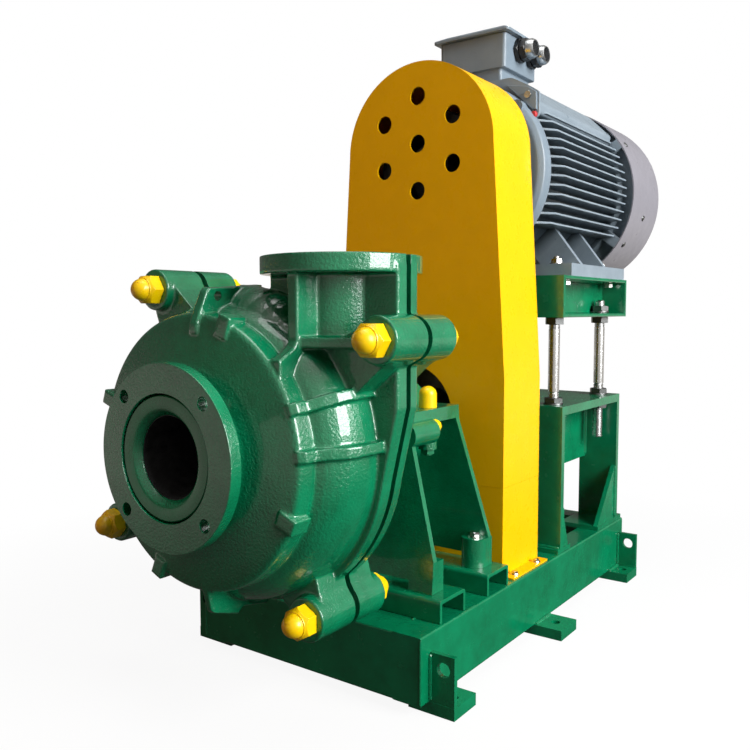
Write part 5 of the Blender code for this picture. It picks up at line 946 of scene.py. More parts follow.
def build_rear_casting():
    """The frame-side half of the casing."""
    middle = Vector((0, -MIDDLE, SHAFT_Z))
    shell = spiralled(lathe(REAR_PROFILE, middle, 144), REAR_SPIRAL_R, BULGE_R)
    shapes = [shell, slab(rim_outline(), SPLIT_REAR - OVERRUN, RIM_BACK)] + branch_shapes(False)
    for index in range(len(LUG_ANGLES)):
        x, z = lug_place(index)
        shapes.append(rod((x, SPLIT_REAR - OVERRUN, z), (x, LUG_REAR, z), LUG_R, 64))
        shapes.append(lug_arm(index, SPLIT_REAR - OVERRUN, LUG_REAR - ARM_STEP))
    for degrees in REAR_RIB_ANGLES:
        shapes.append(shaft_rib(math.radians(degrees), REAR_RIB, REAR_RIB_WIDTH))
    body = cast(shapes)
    hollow = [(SPLIT_REAR - OVERRUN, HOLLOW_R), (RIM_BACK, HOLLOW_R), (0.208, 0.161), (0.229, 0.081)]
    hollow = spiralled(lathe(hollow, middle, 96), HOLLOW_EYE_R, BULGE_R)
    seat = rod((0, SPLIT_REAR, SHAFT_Z), (0, SHELL_BACK + 0.02, SHAFT_Z), 0.0625, 96)
    bore, *branch_holes = branch_cutters()
    carved(body, across(SPLIT_REAR - 0.06, SPLIT_REAR), above_branch(), hollow, seat, bore,
           gathered(branch_holes + lug_holes()))
    shown(body, "rear_casting", FINISHES["cast_enamel"], "base", ["rear_casing"], 50)


def build_intake_ring():
    """The machined end of the throatbush, seen inside the suction flange, and a black sleeve in its bore as
    painted shade.
    """
    middle = Vector((0, -MIDDLE, SHAFT_Z))
    outer = [(0.002, 0.0690), (0.002, 0.0742), (0.0034, 0.0755), (0.0720, 0.0755), (0.0720, 0.1248),
             (0.0935, 0.1248)]
    inner = [(0.002, 0.0690), (0.0024, 0.0600), (0.0042, 0.0566), (0.0100, 0.0518), (0.0130, 0.0508),
             (0.0935, 0.0508)]
    ring = lathe(outer, middle, 128, bore=inner[1:])
    shown(ring, "intake_ring", FINISHES["machined_enamel"], "base", ["throatbush"], 30)
    # A thin black rubber sleeve inside the bore: a dark sheet that stands in for the shade deep in the
    # throat.
    painted_shade_sleeve = lathe([(0.0122, 0.0520), (0.0930, 0.0520)], middle, 96,
                   bore=[(0.0122, 0.0503), (0.0930, 0.0503)])
    shown(painted_shade_sleeve, "intake_shade_sleeve", FINISHES["rubber"], "base", angle=30)


def cap_shape(x, station, z, direction, flat, skirt, dome, wall, turn=0.0):
    """A nut cap: hexagonal skirt with a turned-off shoulder and a round crown."""
    corner = flat / math.cos(math.pi / 6)
    body = spun([(0, corner), (skirt, corner)], (x, station, z), direction, sides=6)
    place = Matrix.Translation(at(x, station, z))
    body.data.transform(place @ Matrix.Rotation(turn, 4, "Y") @ place.inverted())
    shoulder = [(-OVERRUN, corner * 1.01), (skirt - 0.0062, corner * 1.01), (skirt - 0.0012, flat * 0.90),
                (skirt + OVERRUN, flat * 0.86)]
    skin = spun(shoulder, (x, station, z), direction, sides=64)
    combined(body, [skin], "INTERSECT", "EXACT")
    crown = [(skirt - 0.006, dome * 0.985)]
    for degrees in range(0, 91, 9):
        rise = math.radians(degrees)
        crown.append((skirt - 0.0005 + dome * math.sin(rise) * 1.02, max(dome * math.cos(rise), 0.0004)))
    joined(body, spun(crown, (x, station, z), direction, sides=48))
    inner = spun([(-OVERRUN, flat - wall), (skirt - 0.005, flat - wall), (skirt + dome * 0.5, 0.0104)],
                 (x, station, z), direction, sides=48)
    carved(body, inner)
    return eased(body, 0.0007, 2, 28)


def build_casing_caps():
    """The yellow caps over the casing's nuts, and the bolts under them."""
    for index, name in enumerate(LUG_NAMES):
        x, z = lug_place(index)
        for end, station, direction in (("front", LUG_FRONT - GAP, -1), ("rear", LUG_REAR + GAP, 1)):
            turn = math.pi / 6 - CAP_TURNS[index]
            cap = cap_shape(x, station, z, (0, direction, 0), flat=0.0185, skirt=0.0200, dome=0.0150,
                            wall=0.0022, turn=turn)
            shown(cap, f"nut_cap_{end}_{name}", FINISHES["cap_plastic"], "base",
                  [f"bolt_cap_{end}_{name}"], 35)


# Bearing, gland and pedestal


def build_bearing_group():
    """The bearing cartridge, its covers, the gland and the shaft between them."""
    middle = Vector((0, -MIDDLE, SHAFT_Z))
    shell = lathe(softened([(0.330, 0.060), (0.330, 0.072), (0.484, 0.072), (0.484, 0.060)], 0.002, 3),
                  middle, 96, bore=[(0.330, 0.0602), (0.484, 0.0602)])
    shown(shell, "cartridge_shell", FINISHES["cast_enamel"], "base", ["bearing_housing"])
    for name, start, end, sign in (("front", 0.3177, 0.3297, -1), ("rear", 0.4843, 0.4963, 1)):
        face, seat = (start, end) if sign < 0 else (end, start)
        rows = [(seat, 0.068), (seat + sign * 0.007, 0.068), (seat + sign * 0.010, 0.064), (face, 0.052)]
        bore = [(seat, 0.0285), (face, 0.0285)]
        shapes = [lathe(sorted(rows), middle, 96, bore=sorted(bore))]
        for count in range(6):
            x, z = round_shaft(0.058, FULL_TURN * (count + 0.5) / 6)
            shapes.append(hexagon(x, seat + sign * 0.0085, z, (0, sign, 0), 0.0065, 0.0035))
        shown(gathered(shapes), f"cartridge_cover_{name}", FINISHES["cast_enamel"], "base",
              [f"{name}_end_cover"])


def leaned(piece, lean):
    """Shears a piece outward below the pedestal's top."""
    for vertex in piece.data.vertices:
        vertex.co.y += lean * (LEDGE_TOP - vertex.co.z) / (LEDGE_TOP - FOOT_LOW)
    return piece


def pedestal_wall(start, end, lean):
    """One end wall of the pedestal: a thin plate that spreads towards its feet and leans outward."""
    knee, arch = FOOT_TOP, FOOT_LOW + 0.014
    right = [(FOOT_IN, FOOT_LOW), (FOOT_OUT, FOOT_LOW), (FOOT_OUT, knee), (PEDESTAL_HALF, 0.369),
             (PEDESTAL_HALF, LEDGE_TOP)]
    outline = right + [(-x, z) for x, z in reversed(right)] + [(-FOOT_IN, arch), (FOOT_IN, arch)]
    return leaned(slab(outline, start, end), lean)


def build_pedestal():
    """The pump frame: two leaning walls, a cradle, side ledges, bosses and four feet."""
    low, high, wall, lean = FOOT_LOW, FOOT_TOP, PEDESTAL_WALL, PEDESTAL_LEAN
    front, rear = PEDESTAL_FRONT, PEDESTAL_REAR
    foot_front, foot_rear = front - lean, rear + lean
    body = pedestal_wall(front, front + wall, -lean)
    parts = [pedestal_wall(rear - wall, rear, lean)]
    cradle = rod((0, front + 0.003, SHAFT_Z), (0, rear - 0.003, SHAFT_Z), 0.084, 96)
    below = brick((-0.1, front - OVERRUN, 0.0), (0.1, rear + OVERRUN, SHAFT_Z))
    parts.append(combined(cradle, [below], "INTERSECT"))
    boss_z, stud_z, foot_r = 0.329, 0.3589, 0.020
    for side in (-1, 1):
        parts.append(brick((side * 0.070, front, LEDGE_LOW), (side * PEDESTAL_HALF, rear, LEDGE_TOP)))
        parts.append(rod((side * CLAMP_X, CLAMP_AT, boss_z), (side * CLAMP_X, CLAMP_AT, 0.389), 0.014, 48))
        parts.append(rod((side * 0.124, front - 0.006, stud_z), (side * 0.124, 0.3930, stud_z), 0.0191, 48))
        foot = brick((side * FOOT_IN, front + 0.0004, low),
                     (side * FOOT_OUT, foot_front + 0.0300, high - 0.001))
        for vertex in foot.data.vertices:
            if vertex.co.y < at(0, front + 0.002, 0).y:
                vertex.co.y -= lean * (LEDGE_TOP - vertex.co.z) / (LEDGE_TOP - low)
        parts.append(foot)
        round_at = foot_rear - foot_r
        rear_plan = [(side * FOOT_IN, foot_rear - 0.0005), (side * FOOT_IN, round_at)]
        rear_plan += arc((side * FOOT_X, round_at), foot_r, math.pi if side > 0 else 0.0,
                         FULL_TURN if side > 0 else -math.pi, 24)[1:]
        rear_plan.append((side * FOOT_OUT, foot_rear - 0.0005))
        parts.append(slab(rear_plan, low, high - 0.001, facing="Z"))
    parts.append(brick((-0.0045, front + 0.002, low + 0.014), (0.0045, rear - 0.002, SHAFT_Z - 0.072)))
    joined(body, *parts)
    carved(body, rod((0, front - 0.05, SHAFT_Z), (0, rear + 0.05, SHAFT_Z), 0.0723, 96),
           brick((-0.25, front - 0.1, low - 0.02), (0.25, rear + 0.1, low)))
    carved(body, gathered([rod((x, CLAMP_AT, 0.32), (x, CLAMP_AT, 0.40), 0.0076, 32)
                           for x in (-CLAMP_X, CLAMP_X)]))
    eased(body, 0.0022, 3, 40)
    shown(body, "pedestal_casting", FINISHES["cast_enamel"], "base", ["pump_frame"], 40)
    bolts = []
    for side in (-1, 1):
        for station in (foot_front + wall + 0.0105, foot_rear - foot_r):
            x = side * FOOT_X
            bolts.append(washer(x, station, high - 0.0008, (0, 0, 1), 0.0100, 0.0018, 0.005))
            bolts.append(hexagon(x, station, high + 0.0010, (0, 0, 1), 0.0072, 0.0060))
    shown(gathered(bolts), "pedestal_bolts", FINISHES["zinc"], "base")


def round_cap(place, direction, radius, skirt):
    """A small push-on cap: a short round skirt and a domed end."""
    rows = [(0, radius), (skirt * 0.1, radius * 1.02), (skirt, radius)]
    for degrees in range(10, 91, 10):
        rise = math.radians(degrees)
        rows.append((skirt + radius * 0.94 * math.sin(rise), max(radius * math.cos(rise), 0.0003)))
    return spun(rows, place, direction, sides=40)


def build_clamp_caps():
    """The caps over the cartridge clamp bolts, and the small ones on the side studs."""
    for side, name in ((-1, "left"), (1, "right")):
        cap = round_cap((side * CLAMP_X, CLAMP_AT, LEDGE_TOP + GAP), (0, 0, 1), 0.0135, 0.0200)
        shown(cap, f"clamp_nut_cap_{name}", FINISHES["cap_plastic"], "base",
              [f"clamp_cap_{name}"])
        stud = round_cap((side * 0.129, 0.3933, 0.3655), (0, 1, 0), 0.0105, 0.007)
        shown(stud, f"stud_cap_{name}", FINISHES["cap_plastic"], "base")
        x = side * CLAMP_X
        bolt = [rod((x, CLAMP_AT, 0.3195), (x, CLAMP_AT, 0.395), 0.007, 32),
                hexagon(x, CLAMP_AT, 0.3287, (0, 0, -1), 0.0100, 0.0072)]
        shown(gathered(bolt), f"clamp_stud_{name}", FINISHES["plate_enamel"], "base",
              [f"clamp_bolt_{name}"])


# Steelwork


def channel_outline(outer, inner, low, high, web, flange):
    """A rolled channel's section, its flanges thinner towards their toes; outer is the web's outside."""
    side = 1 if inner > outer else -1
    root, toe = outer + side * web, flange * 0.8
    return [(outer, low), (outer, high), (inner, high), (inner, high - toe), (root, high - flange),
            (root, low + flange), (inner, low + toe), (inner, low)]


def build_skid_frame():
    """Side and end channels, the deck, the foot plates and the lifting plates, with their welds."""
    half, front, rear, low, high = SKID_HALF, SKID_FRONT, SKID_REAR, SKID_LOW, SKID_TOP
    reach, web, flange = 0.046, 0.007, 0.009
    parts = []
    for side in (-1, 1):
        outline = channel_outline(side * half, side * (half - reach), low, high, web, flange)
        parts.append(slab(softened(outline, 0.0030, 3, True), front, rear))
    for station, sign in ((front, 1), (rear, -1)):
        outline = channel_outline(station, station + sign * reach, low, high, web, flange)
        parts.append(slab(softened(outline, 0.0030, 3, True), -half + 0.004, half - 0.004, facing="X"))
    body = parts[0]
    joined(body, *parts[1:])
    # Each foot plate: its start, its length and how far it stands out.
    inset = 0.022
    feet = ((front + inset, 0.058, 0.038), (front + 0.349, 0.063, 0.047),
            (rear - inset - 0.054, 0.058, 0.038))
    ears = (front + inset, rear - inset - 0.004)
    ear_hole_z = 0.065
    for side in (-1, 1):
        for start, length, out in feet:
            pad = brick((side * (half - 0.034), start, 0.0),
                        (side * (half + out), start + length, low + 0.001))
            x, middle = side * (half + out / 2), start + length / 2
            joined(body, carved(pad, rod((x, middle, -OVERRUN), (x, middle, low + OVERRUN), 0.0075, 40)))
        for start in ears:
            ear = brick((side * (half - 0.002), start + 0.0004, 0.0004),
                        (side * (half + 0.0377), start + 0.008, 0.085))
            x = side * (half + 0.0209)
            hole = rod((x, start - OVERRUN, ear_hole_z), (x, start + 0.012, ear_hole_z), 0.010, 48)
            joined(body, carved(ear, hole))
    eased(body, angle=40)
    shown(body, "skid_weldment", FINISHES["plate_enamel"], "base", ["skid_frame"], 40)
    deck = brick((-half + 0.012, front + 0.012, high - 0.0064), (half - 0.012, front + 0.490, high - 0.0004))
    shown(eased(deck, 0.0005, 2, 40), "deck_plate", FINISHES["plate_enamel"], "base",
          angle=40)
    beads = []
    for side in (-1, 1):
        x = side * (half + 0.0012)
        for start, length, _ in feet:
            beads.append(bead([(x, start + 0.003, low + 0.0012), (x, start + length - 0.003, low + 0.0012)],
                              0.0034))
        for start in ears:
            for step in (-0.0008, 0.0088):
                beads.append(bead([(x, start + step, low + 0.004), (x, start + step, 0.083)], 0.0028))
        toe = side * (half - 0.0463)
        beads.append(bead([(toe, front + 0.050, high - 0.0008), (toe, front + 0.488, high - 0.0008)], 0.0022))
        edge = side * (half - 0.0012)
        for station in (front + 0.0008, rear - 0.0008):
            beads.append(bead([(edge, station, low + 0.003), (edge, station, high - 0.003)], 0.0018))
    shown(gathered(beads), "skid_welds", FINISHES["plate_enamel"], "base")


def build_support_channels():
    """Folded inverted channels across the deck, under the pedestal's feet."""
    low, high, half, wall, reach = DECK_Z, 0.1423, 0.0345, 0.0055, 0.200
    for name, station in (("front", 0.336), ("rear", 0.471)):
        outer = [(station - half, low), (station - half, high), (station + half, high), (station + half, low)]
        inner = [(station + half - wall, low), (station + half - wall, high - wall),
                 (station - half + wall, high - wall), (station - half + wall, low)]
        piece = slab(softened(outer, 0.006, 4) + softened(inner, 0.0025, 3), -reach, reach, facing="X")
        eased(piece, 0.0007, 2, 40)
        shown(piece, f"cross_channel_{name}", FINISHES["plate_enamel"], "base",
              [f"{name}_support_channel"], 40)


def build_stand():
    """The motor stand: legs, rails, table, shoes and gussets, with its welds and lock nuts."""
    low, high, top = DECK_Z, TABLE_TOP, TABLE_LOW
    front, rear, half, leg, wall = 0.703, 0.990, STAND_HALF, 0.077, 0.012
    # The shoes' thickness, the rails' lower edge and the two gussets' heights.
    shoe, rail, low_gusset, high_gusset = 0.008, 0.238, 0.074, 0.107
    ground = low + 0.007
    beads = []
    table = brick((-half, front, top), (half, rear, high))
    for side in (-1, 1):
        outer, inner = side * half, side * (half - leg)
        parts = [
            brick((inner, front, ground), (outer, front + wall, top + 0.002)),
            brick((inner, rear - wall, ground), (outer, rear, top + 0.002)),
            brick((inner, front + 0.002, rail), (inner + side * wall, rear - 0.002, top + 0.002)),
            brick((inner, front - 0.010, low), (outer, front + 0.045, low + shoe)),
            brick((inner, rear + 0.022 - 0.128, low), (outer, rear + 0.022, low + shoe)),
        ]
        edges = sorted((outer - side * 0.002, outer - side * 0.010))
        parts.append(slab([(front + 0.002, ground), (front + wall + 0.028, ground),
                           (front + wall, ground + low_gusset), (front + 0.002, ground + low_gusset)],
                          *edges, facing="X"))
        parts.append(slab([(rear - 0.002, ground), (rear - 0.002, ground + high_gusset),
                           (rear - wall, ground + high_gusset), (rear - wall - 0.092, ground)],
                          *edges, facing="X"))
        joined(table, *parts)
        # Each weld: from x, station, z to x, station, z, and its radius.
        face, web = outer - side * 0.0015, inner + side * wall
        by_rear, by_front = rear - wall - 0.001, front + wall + 0.001
        near, far = inner + side * 0.002, outer - side * 0.002
        for start, end, radius in (
            ((face, by_rear, ground + 0.004), (face, by_rear, ground + 0.105), 0.0034),
            ((face, by_front, ground + 0.004), (face, by_front, ground + 0.072), 0.0026),
            ((web, by_rear, rail + 0.004), (web, by_rear, top), 0.0034),
            ((web, by_front, rail + 0.004), (web, by_front, top), 0.0030),
            ((outer - side * 0.012, front + 0.045, low + 0.0085), (inner, front + 0.045, low + 0.0085),
             0.0012),
            ((near, front - 0.001, low + 0.009), (far, front - 0.001, low + 0.009), 0.0026),
            ((far, front + 0.002, top - 0.0005), (inner, front + 0.002, top - 0.0005), 0.0016),
        ):
            beads.append(bead([start, end], radius))
    nuts = []
    for x in (-ROD_X, ROD_X):
        for station in ROD_STATIONS:
            carved(table, rod((x, station, top - OVERRUN), (x, station, high + OVERRUN), ROD_HOLE_R, 48))
            nuts.append(washer(x, station, high + 0.0001, (0, 0, 1), WASHER_R, WASHER_T, WASHER_HOLE_R))
            nuts.append(lock_nut(x, station, high + 0.0027, 1, 0.0095))
            nuts.append(lock_nut(x, station, top - 0.0001, -1, 0.0118))
    eased(table, angle=40)
    shown(table, "stand_weldment", FINISHES["plate_enamel"], "base", ["motor_stand"], 40)
    shown(gathered(beads), "stand_welds", FINISHES["plate_enamel"], "base")
    shown(gathered(nuts), "stand_lock_nuts", FINISHES["black_steel"], "base")


def lock_nut(x, station, z, direction, height):
    """A hexagon nut with its thread hole, lying on a face."""
    nut = hexagon(x, station, z, (0, 0, direction), NUT_FLAT, height)
    ends = sorted((z - direction * OVERRUN, z + direction * (height + OVERRUN)))
    return carved(nut, rod((x, station, ends[0]), (x, station, ends[1]), NUT_HOLE_R, 40))


def build_platform_frame():
    """A rectangle of channels, open outward at the sides, that carries the motor."""
    low, high, wall = PLATFORM_LOW, PLATFORM_TOP, PLATFORM_WALL
    front, rear, half, flange = 0.700, 1.017, STAND_HALF, 0.055
    parts = []
    for side in (-1, 1):
        outline = channel_outline(side * (half - flange), side * half, low, high, wall, wall)
        parts.append(slab(softened(outline, 0.0022, 3, True), front + 0.001, rear - 0.001))
    parts.append(brick((-half, front, low), (half, front + wall, high)))
    parts.append(brick((-half, rear - wall, low), (half, rear, high)))
    body = parts[0]
    joined(body, *parts[1:])
    for x in (-ROD_X, ROD_X):
        for station in ROD_STATIONS:
            carved(body, rod((x, station, low - OVERRUN), (x, station, low + wall + OVERRUN), ROD_HOLE_R, 48))
    eased(body, angle=40)
    shown(body, "platform_weldment", FINISHES["plate_enamel"], "motor_platform",
          ["motor_platform"], 40)
    beads = []
    for side in (-1, 1):
        web, toe = side * (half - flange + wall), side * (half - 0.003)
        foot, corner = web + side * 0.001, front + wall + 0.0005
        beads.append(bead([(foot, front + wall + 0.001, low + 0.010),
                           (foot, front + wall + 0.001, high - 0.010)], 0.0030))
        for z in (high - wall - 0.0005, low + wall + 0.0005):
            beads.append(bead([(toe, corner, z), (web, corner, z)], 0.0018))
    shown(gathered(beads), "platform_welds", FINISHES["plate_enamel"], "motor_platform")


def threaded_rod(x, station, low, high, radius, pitch=0.0025):
    """A rod with rolled thread all along, drawn as close rings."""
    crest, root = radius, radius - 0.0010
    rows = [(low, root * 0.86), (low + 0.0012, root)]
    count = int((high - low - 0.0024) / pitch)
    for turn in range(count):
        base = low + 0.0012 + turn * pitch
        rows += [(base + pitch * 0.12, root), (base + pitch * 0.44, crest), (base + pitch * 0.56, crest),
                 (base + pitch * 0.88, root)]
    rows.append((high, root * 0.86))
    return spun([(s - low, r) for s, r in rows], (x, station, low), (0, 0, 1), sides=32)


def build_jacking_rods():
    """The four rods between stand and platform, with their nuts and washers."""
    ends = (0.283, 0.5563)
    plain_low, plain_high = 0.392, 0.504
    seat = PLATFORM_LOW + PLATFORM_WALL + 0.0002
    for side, side_name in ((-1, "left"), (1, "right")):
        for station, end_name in zip(ROD_STATIONS, ("front", "rear")):
            x = side * ROD_X
            plain = rod((x, station, plain_low), (x, station, plain_high), ROD_R, 48)
            lower = threaded_rod(x, station, ends[0], plain_low + 0.0005, ROD_R)
            upper = threaded_rod(x, station, plain_high - 0.0005, ends[1], ROD_R)
            rod_piece = gathered([plain, lower, upper])
            shown(rod_piece, f"jack_rod_{end_name}_{side_name}", FINISHES["bright_rod"], "motor_platform",
                  [f"jacking_rod_{end_name}_{side_name}"])
            nuts = [lock_nut(x, station, seat + WASHER_T + 0.0002, 1, 0.0100),
                    lock_nut(x, station, PLATFORM_LOW - GAP, -1, 0.0122),
                    washer(x, station, seat, (0, 0, 1), WASHER_R, WASHER_T, WASHER_HOLE_R)]
            shown(gathered(nuts), f"jack_nuts_{end_name}_{side_name}", FINISHES["black_steel"],
                  "motor_platform")


# Belt guard


def guard_outline(inset, low, steps=64):
    """The guard's outline from a height up: straight, then tapering to a round top."""
    bend = GUARD_TOP_Z - (GUARD_HALF - GUARD_TOP_R) / GUARD_TAPER
    half = GUARD_HALF - inset
    right = [(MOTOR_X + half, low)]
    if bend > low:
        right.append((MOTOR_X + half, bend))
    crown = arc((MOTOR_X, GUARD_TOP_Z), GUARD_TOP_R - inset, 0.0, math.pi, steps)
    return right + crown + [(2 * MOTOR_X - x, z) for x, z in reversed(right)]


def build_belt_guard():
    """The guard's cover with its vents, its lower section with feet, its back plate and its screws."""
    front, back, wall, seam, low, half = GUARD_FRONT, GUARD_BACK, GUARD_WALL, GUARD_SEAM, DECK_Z, GUARD_HALF
    cover = slab(guard_outline(0.0, seam), front, back - wall - GAP)
    carved(cover, slab(guard_outline(wall, seam - OVERRUN), front + wall, back))
    cutters = [rod((0, front - OVERRUN, SHAFT_Z), (0, front + wall * 2, SHAFT_Z), 0.085, 96)]
    vent_z, vent_circle, vent_r = 0.8105, 0.0765, 0.0145
    spots = [(MOTOR_X, vent_z)]
    spots += [(MOTOR_X + vent_circle * math.cos(a), vent_z + vent_circle * math.sin(a))
              for a in (math.radians(30 + 60 * k) for k in range(6))]
    cutters += [rod((x, front - OVERRUN, z), (x, front + wall * 2, z), vent_r, 48) for x, z in spots]
    carved(cover, *cutters)
    eased(cover, 0.0013, 3, 40)
    shown(cover, "guard_shell", FINISHES["guard_enamel"], "base", ["guard_cover"], 35)
    top = seam - GAP
    base = brick((MOTOR_X - half, front, low), (MOTOR_X + half, back - wall - GAP, top))
    carved(base, brick((MOTOR_X - half + wall, front + wall, low - OVERRUN),
                       (MOTOR_X + half - wall, back + OVERRUN, top + OVERRUN)))
    foot = 0.020
    for side in (-1, 1):
        joined(base, brick((MOTOR_X + side * (half - 0.0015), front, low),
                           (MOTOR_X + side * (half + foot), back - wall - GAP, low + wall)))
    eased(base, 0.0011, 2, 40)
    shown(base, "guard_foot_section", FINISHES["guard_enamel"], "base", ["guard_base"], 35)
    plate = slab(guard_outline(0.0, low), back - wall, back)
    slot_r = 0.034
    slot = arc((MOTOR_X, MOTOR_Z + 0.015), slot_r, 0.0, math.pi, 24)
    slot += arc((MOTOR_X, MOTOR_Z - 0.020), slot_r, math.pi, FULL_TURN, 24)
    carved(plate, slab(slot, back - wall * 2, back + wall))
    eased(plate, 0.0008, 2, 40)
    shown(plate, "guard_rear_plate", FINISHES["guard_enamel"], "base", ["guard_back"], 35)
    screws = []
    for side in (-1, 1):
        x = MOTOR_X + side * (half + 0.011)
        for station in (front + 0.022, back - 0.030):
            screws.append(washer(x, station, low + wall, (0, 0, 1), 0.0075, 0.0012, 0.003))
            screws.append(hexagon(x, station, low + wall + 0.0012, (0, 0, 1), 0.0048, 0.0040))
    shown(gathered(screws), "guard_screws", FINISHES["zinc"], "base")


# Motor


def fin_outline(height, side, radius, start, end, chamfer):
    """The plan of a cooling fin at a height over the motor's axis."""
    reach = math.sqrt(radius ** 2 - height ** 2)
    root = math.sqrt((BARREL_R - 0.002) ** 2 - height ** 2) - 0.004
    near, far = MOTOR_X + side * root, MOTOR_X + side * reach
    return [(near, start), (MOTOR_X + side * (reach - chamfer * 0.75), start), (far, start + chamfer),
            (far, end), (near, end)]


def tapered_fin(points, z, root_half, tip_half):
    """A cast fin: thick at the body and thin over the last quarter of its reach."""
    piece = slab(points, z - root_half, z + root_half, facing="Z")
    far = max(abs(v.co.x - MOTOR_X) for v in piece.data.vertices)
    for vertex in piece.data.vertices:
        share = abs(vertex.co.x - MOTOR_X) / far
        scale = 1 - (1 - tip_half / root_half) * max(0.0, (share - 0.75) / 0.25)
        vertex.co.z = z + (vertex.co.z - z) * scale
    return piece


def build_motor_body():
    """The finned frame with its feet, their ribs, the deck for the terminal box and the front ring."""
    start, end, low, foot_t = MOTOR_FRONT, MOTOR_BACK, MOTOR_FOOT, 0.022
    middle = at(MOTOR_X, 0, MOTOR_Z)
    body = rod((MOTOR_X, start, MOTOR_Z), (MOTOR_X, end, MOTOR_Z), BARREL_R, 128)
    parts = []
    # Right halves of the roof and of the front plate, each (x, z) from the motor's axis.
    roof = [(0.130, 0.098), (0.134, 0.116), (0.085, DECK_TOP)]
    plate = [(0.128, 0.086), (0.1375, 0.094), (0.1375, 0.132), (0.120, 0.1435), (0.085, DECK_TOP)]
    for right, last in ((roof, end - 0.002), (plate, start + 0.009)):
        outline = [(MOTOR_X + x, MOTOR_Z + z) for x, z in right]
        outline += [(MOTOR_X - x, MOTOR_Z + z) for x, z in reversed(right)]
        parts.append(slab(softened(outline, 0.006, 4, True), start + 0.002, last))
    for side in (-1, 1):
        parts.append(brick((MOTOR_X + side * 0.100, 0.745, low),
                           (MOTOR_X + side * 0.180, 1.015, low + foot_t)))
        for station in (0.810, 0.925):
            rib = [(MOTOR_X + side * 0.1746, low + 0.020), (MOTOR_X + side * 0.1116, MOTOR_Z - 0.077),
                   (MOTOR_X + side * 0.054, MOTOR_Z - 0.105), (MOTOR_X + side * 0.098, low + 0.020)]
            parts.append(slab(rib, station - 0.006, station + 0.006))
    joined(body, *parts)
    rabbet_r, stator_r, depth = 0.1265, 0.0921, 0.055
    carved(body, lathe([
        (start - OVERRUN, rabbet_r), (start + depth, rabbet_r), (start + depth, stator_r),
        (end - depth, stator_r), (end - depth, rabbet_r), (end + OVERRUN, rabbet_r)], middle, 96))
    rim = [(start + 0.0005, 0.1270), (start + 0.0005, 0.1585), (start + 0.010, 0.1585),
           (start + 0.014, 0.1440), (start + 0.014, 0.1270)]
    ring = lathe(softened(rim, 0.002, 3), middle, 128)
    carved(ring, rod((MOTOR_X, start - 0.02, MOTOR_Z), (MOTOR_X, start + 0.04, MOTOR_Z), 0.1290, 96))
    shown(eased(ring, 0.0016, 3, 38), "motor_frame_ring", FINISHES["motor_enamel"], "motor_platform",
          angle=40)
    eased(body, 0.0016, 3, 38)
    fins = []
    for side in (-1, 1):
        for count in range(-6, 7):
            height = FIN_PITCH * (count + 0.5)
            points = fin_outline(height, side, 0.170, start + 0.002, end - 0.002, 0.040)
            fins.append(tapered_fin(points, MOTOR_Z + height, 0.0031, 0.0018))
    body = gathered([body, eased(gathered(fins), 0.0011, 2, 38)])
    # The fins' paint carries painted shade between the fins and a painted highlight on their tips.
    shown(body, "motor_stator_frame", FINISHES["fin_enamel"], "motor_platform",
          ["motor_frame"], 40)
    bolts = []
    top = low + foot_t
    for side in (-1, 1):
        for station in (0.772, 0.988):
            x = MOTOR_X + side * 0.1395
            bolts.append(washer(x, station, top, (0, 0, 1), 0.0125, 0.0022, 0.005))
            bolts.append(hexagon(x, station, top + 0.0022, (0, 0, 1), 0.0092, 0.0078))
            bolts.append(rod((x, station, top + 0.008), (x, station, top + 0.0145), 0.0055, 32))
            bolts.append(hexagon(MOTOR_X + side * 0.1580, station, 0.5888, (0, 0, -1), 0.0075, 0.0070))
    shown(gathered(bolts), "motor_foot_bolts", FINISHES["zinc"], "motor_platform")
    build_motor_trim(start)


def build_motor_trim(start):
    """The lifting lugs on the front plate, their bolts and the red plugs."""
    lug_outline = [(0.0780, 0.1500), (0.1180, 0.1420), (0.1340, 0.1310), (0.1350, 0.1010), (0.1270, 0.1020),
                   (0.1080, 0.1200)]
    for side, side_name in ((-1, "left"), (1, "right")):
        lug = slab([(MOTOR_X + side * x, MOTOR_Z + z) for x, z in lug_outline], start - 0.0035,
                   start + 0.0025)
        shown(eased(lug, 0.0012, 2, 38), f"lifting_lug_{side_name}", FINISHES["motor_enamel"],
              "motor_platform")
        bolt = hexagon(MOTOR_X + side * 0.1200, start - 0.0034, MOTOR_Z + 0.1270, (0, -1, 0), 0.0058, 0.0052)
        shown(gathered([bolt]), f"lifting_bolt_{side_name}", FINISHES["zinc"], "motor_platform")
        plug = spun([(0, 0.0052), (0.0050, 0.0052), (0.0068, 0.0040)],
                    (MOTOR_X + side * 0.1300, start + 0.0015, MOTOR_Z + 0.0935), (0, -1, 0), 24)
        shown(plug, f"drain_plug_{side_name}", FINISHES["red_plastic"], "motor_platform")


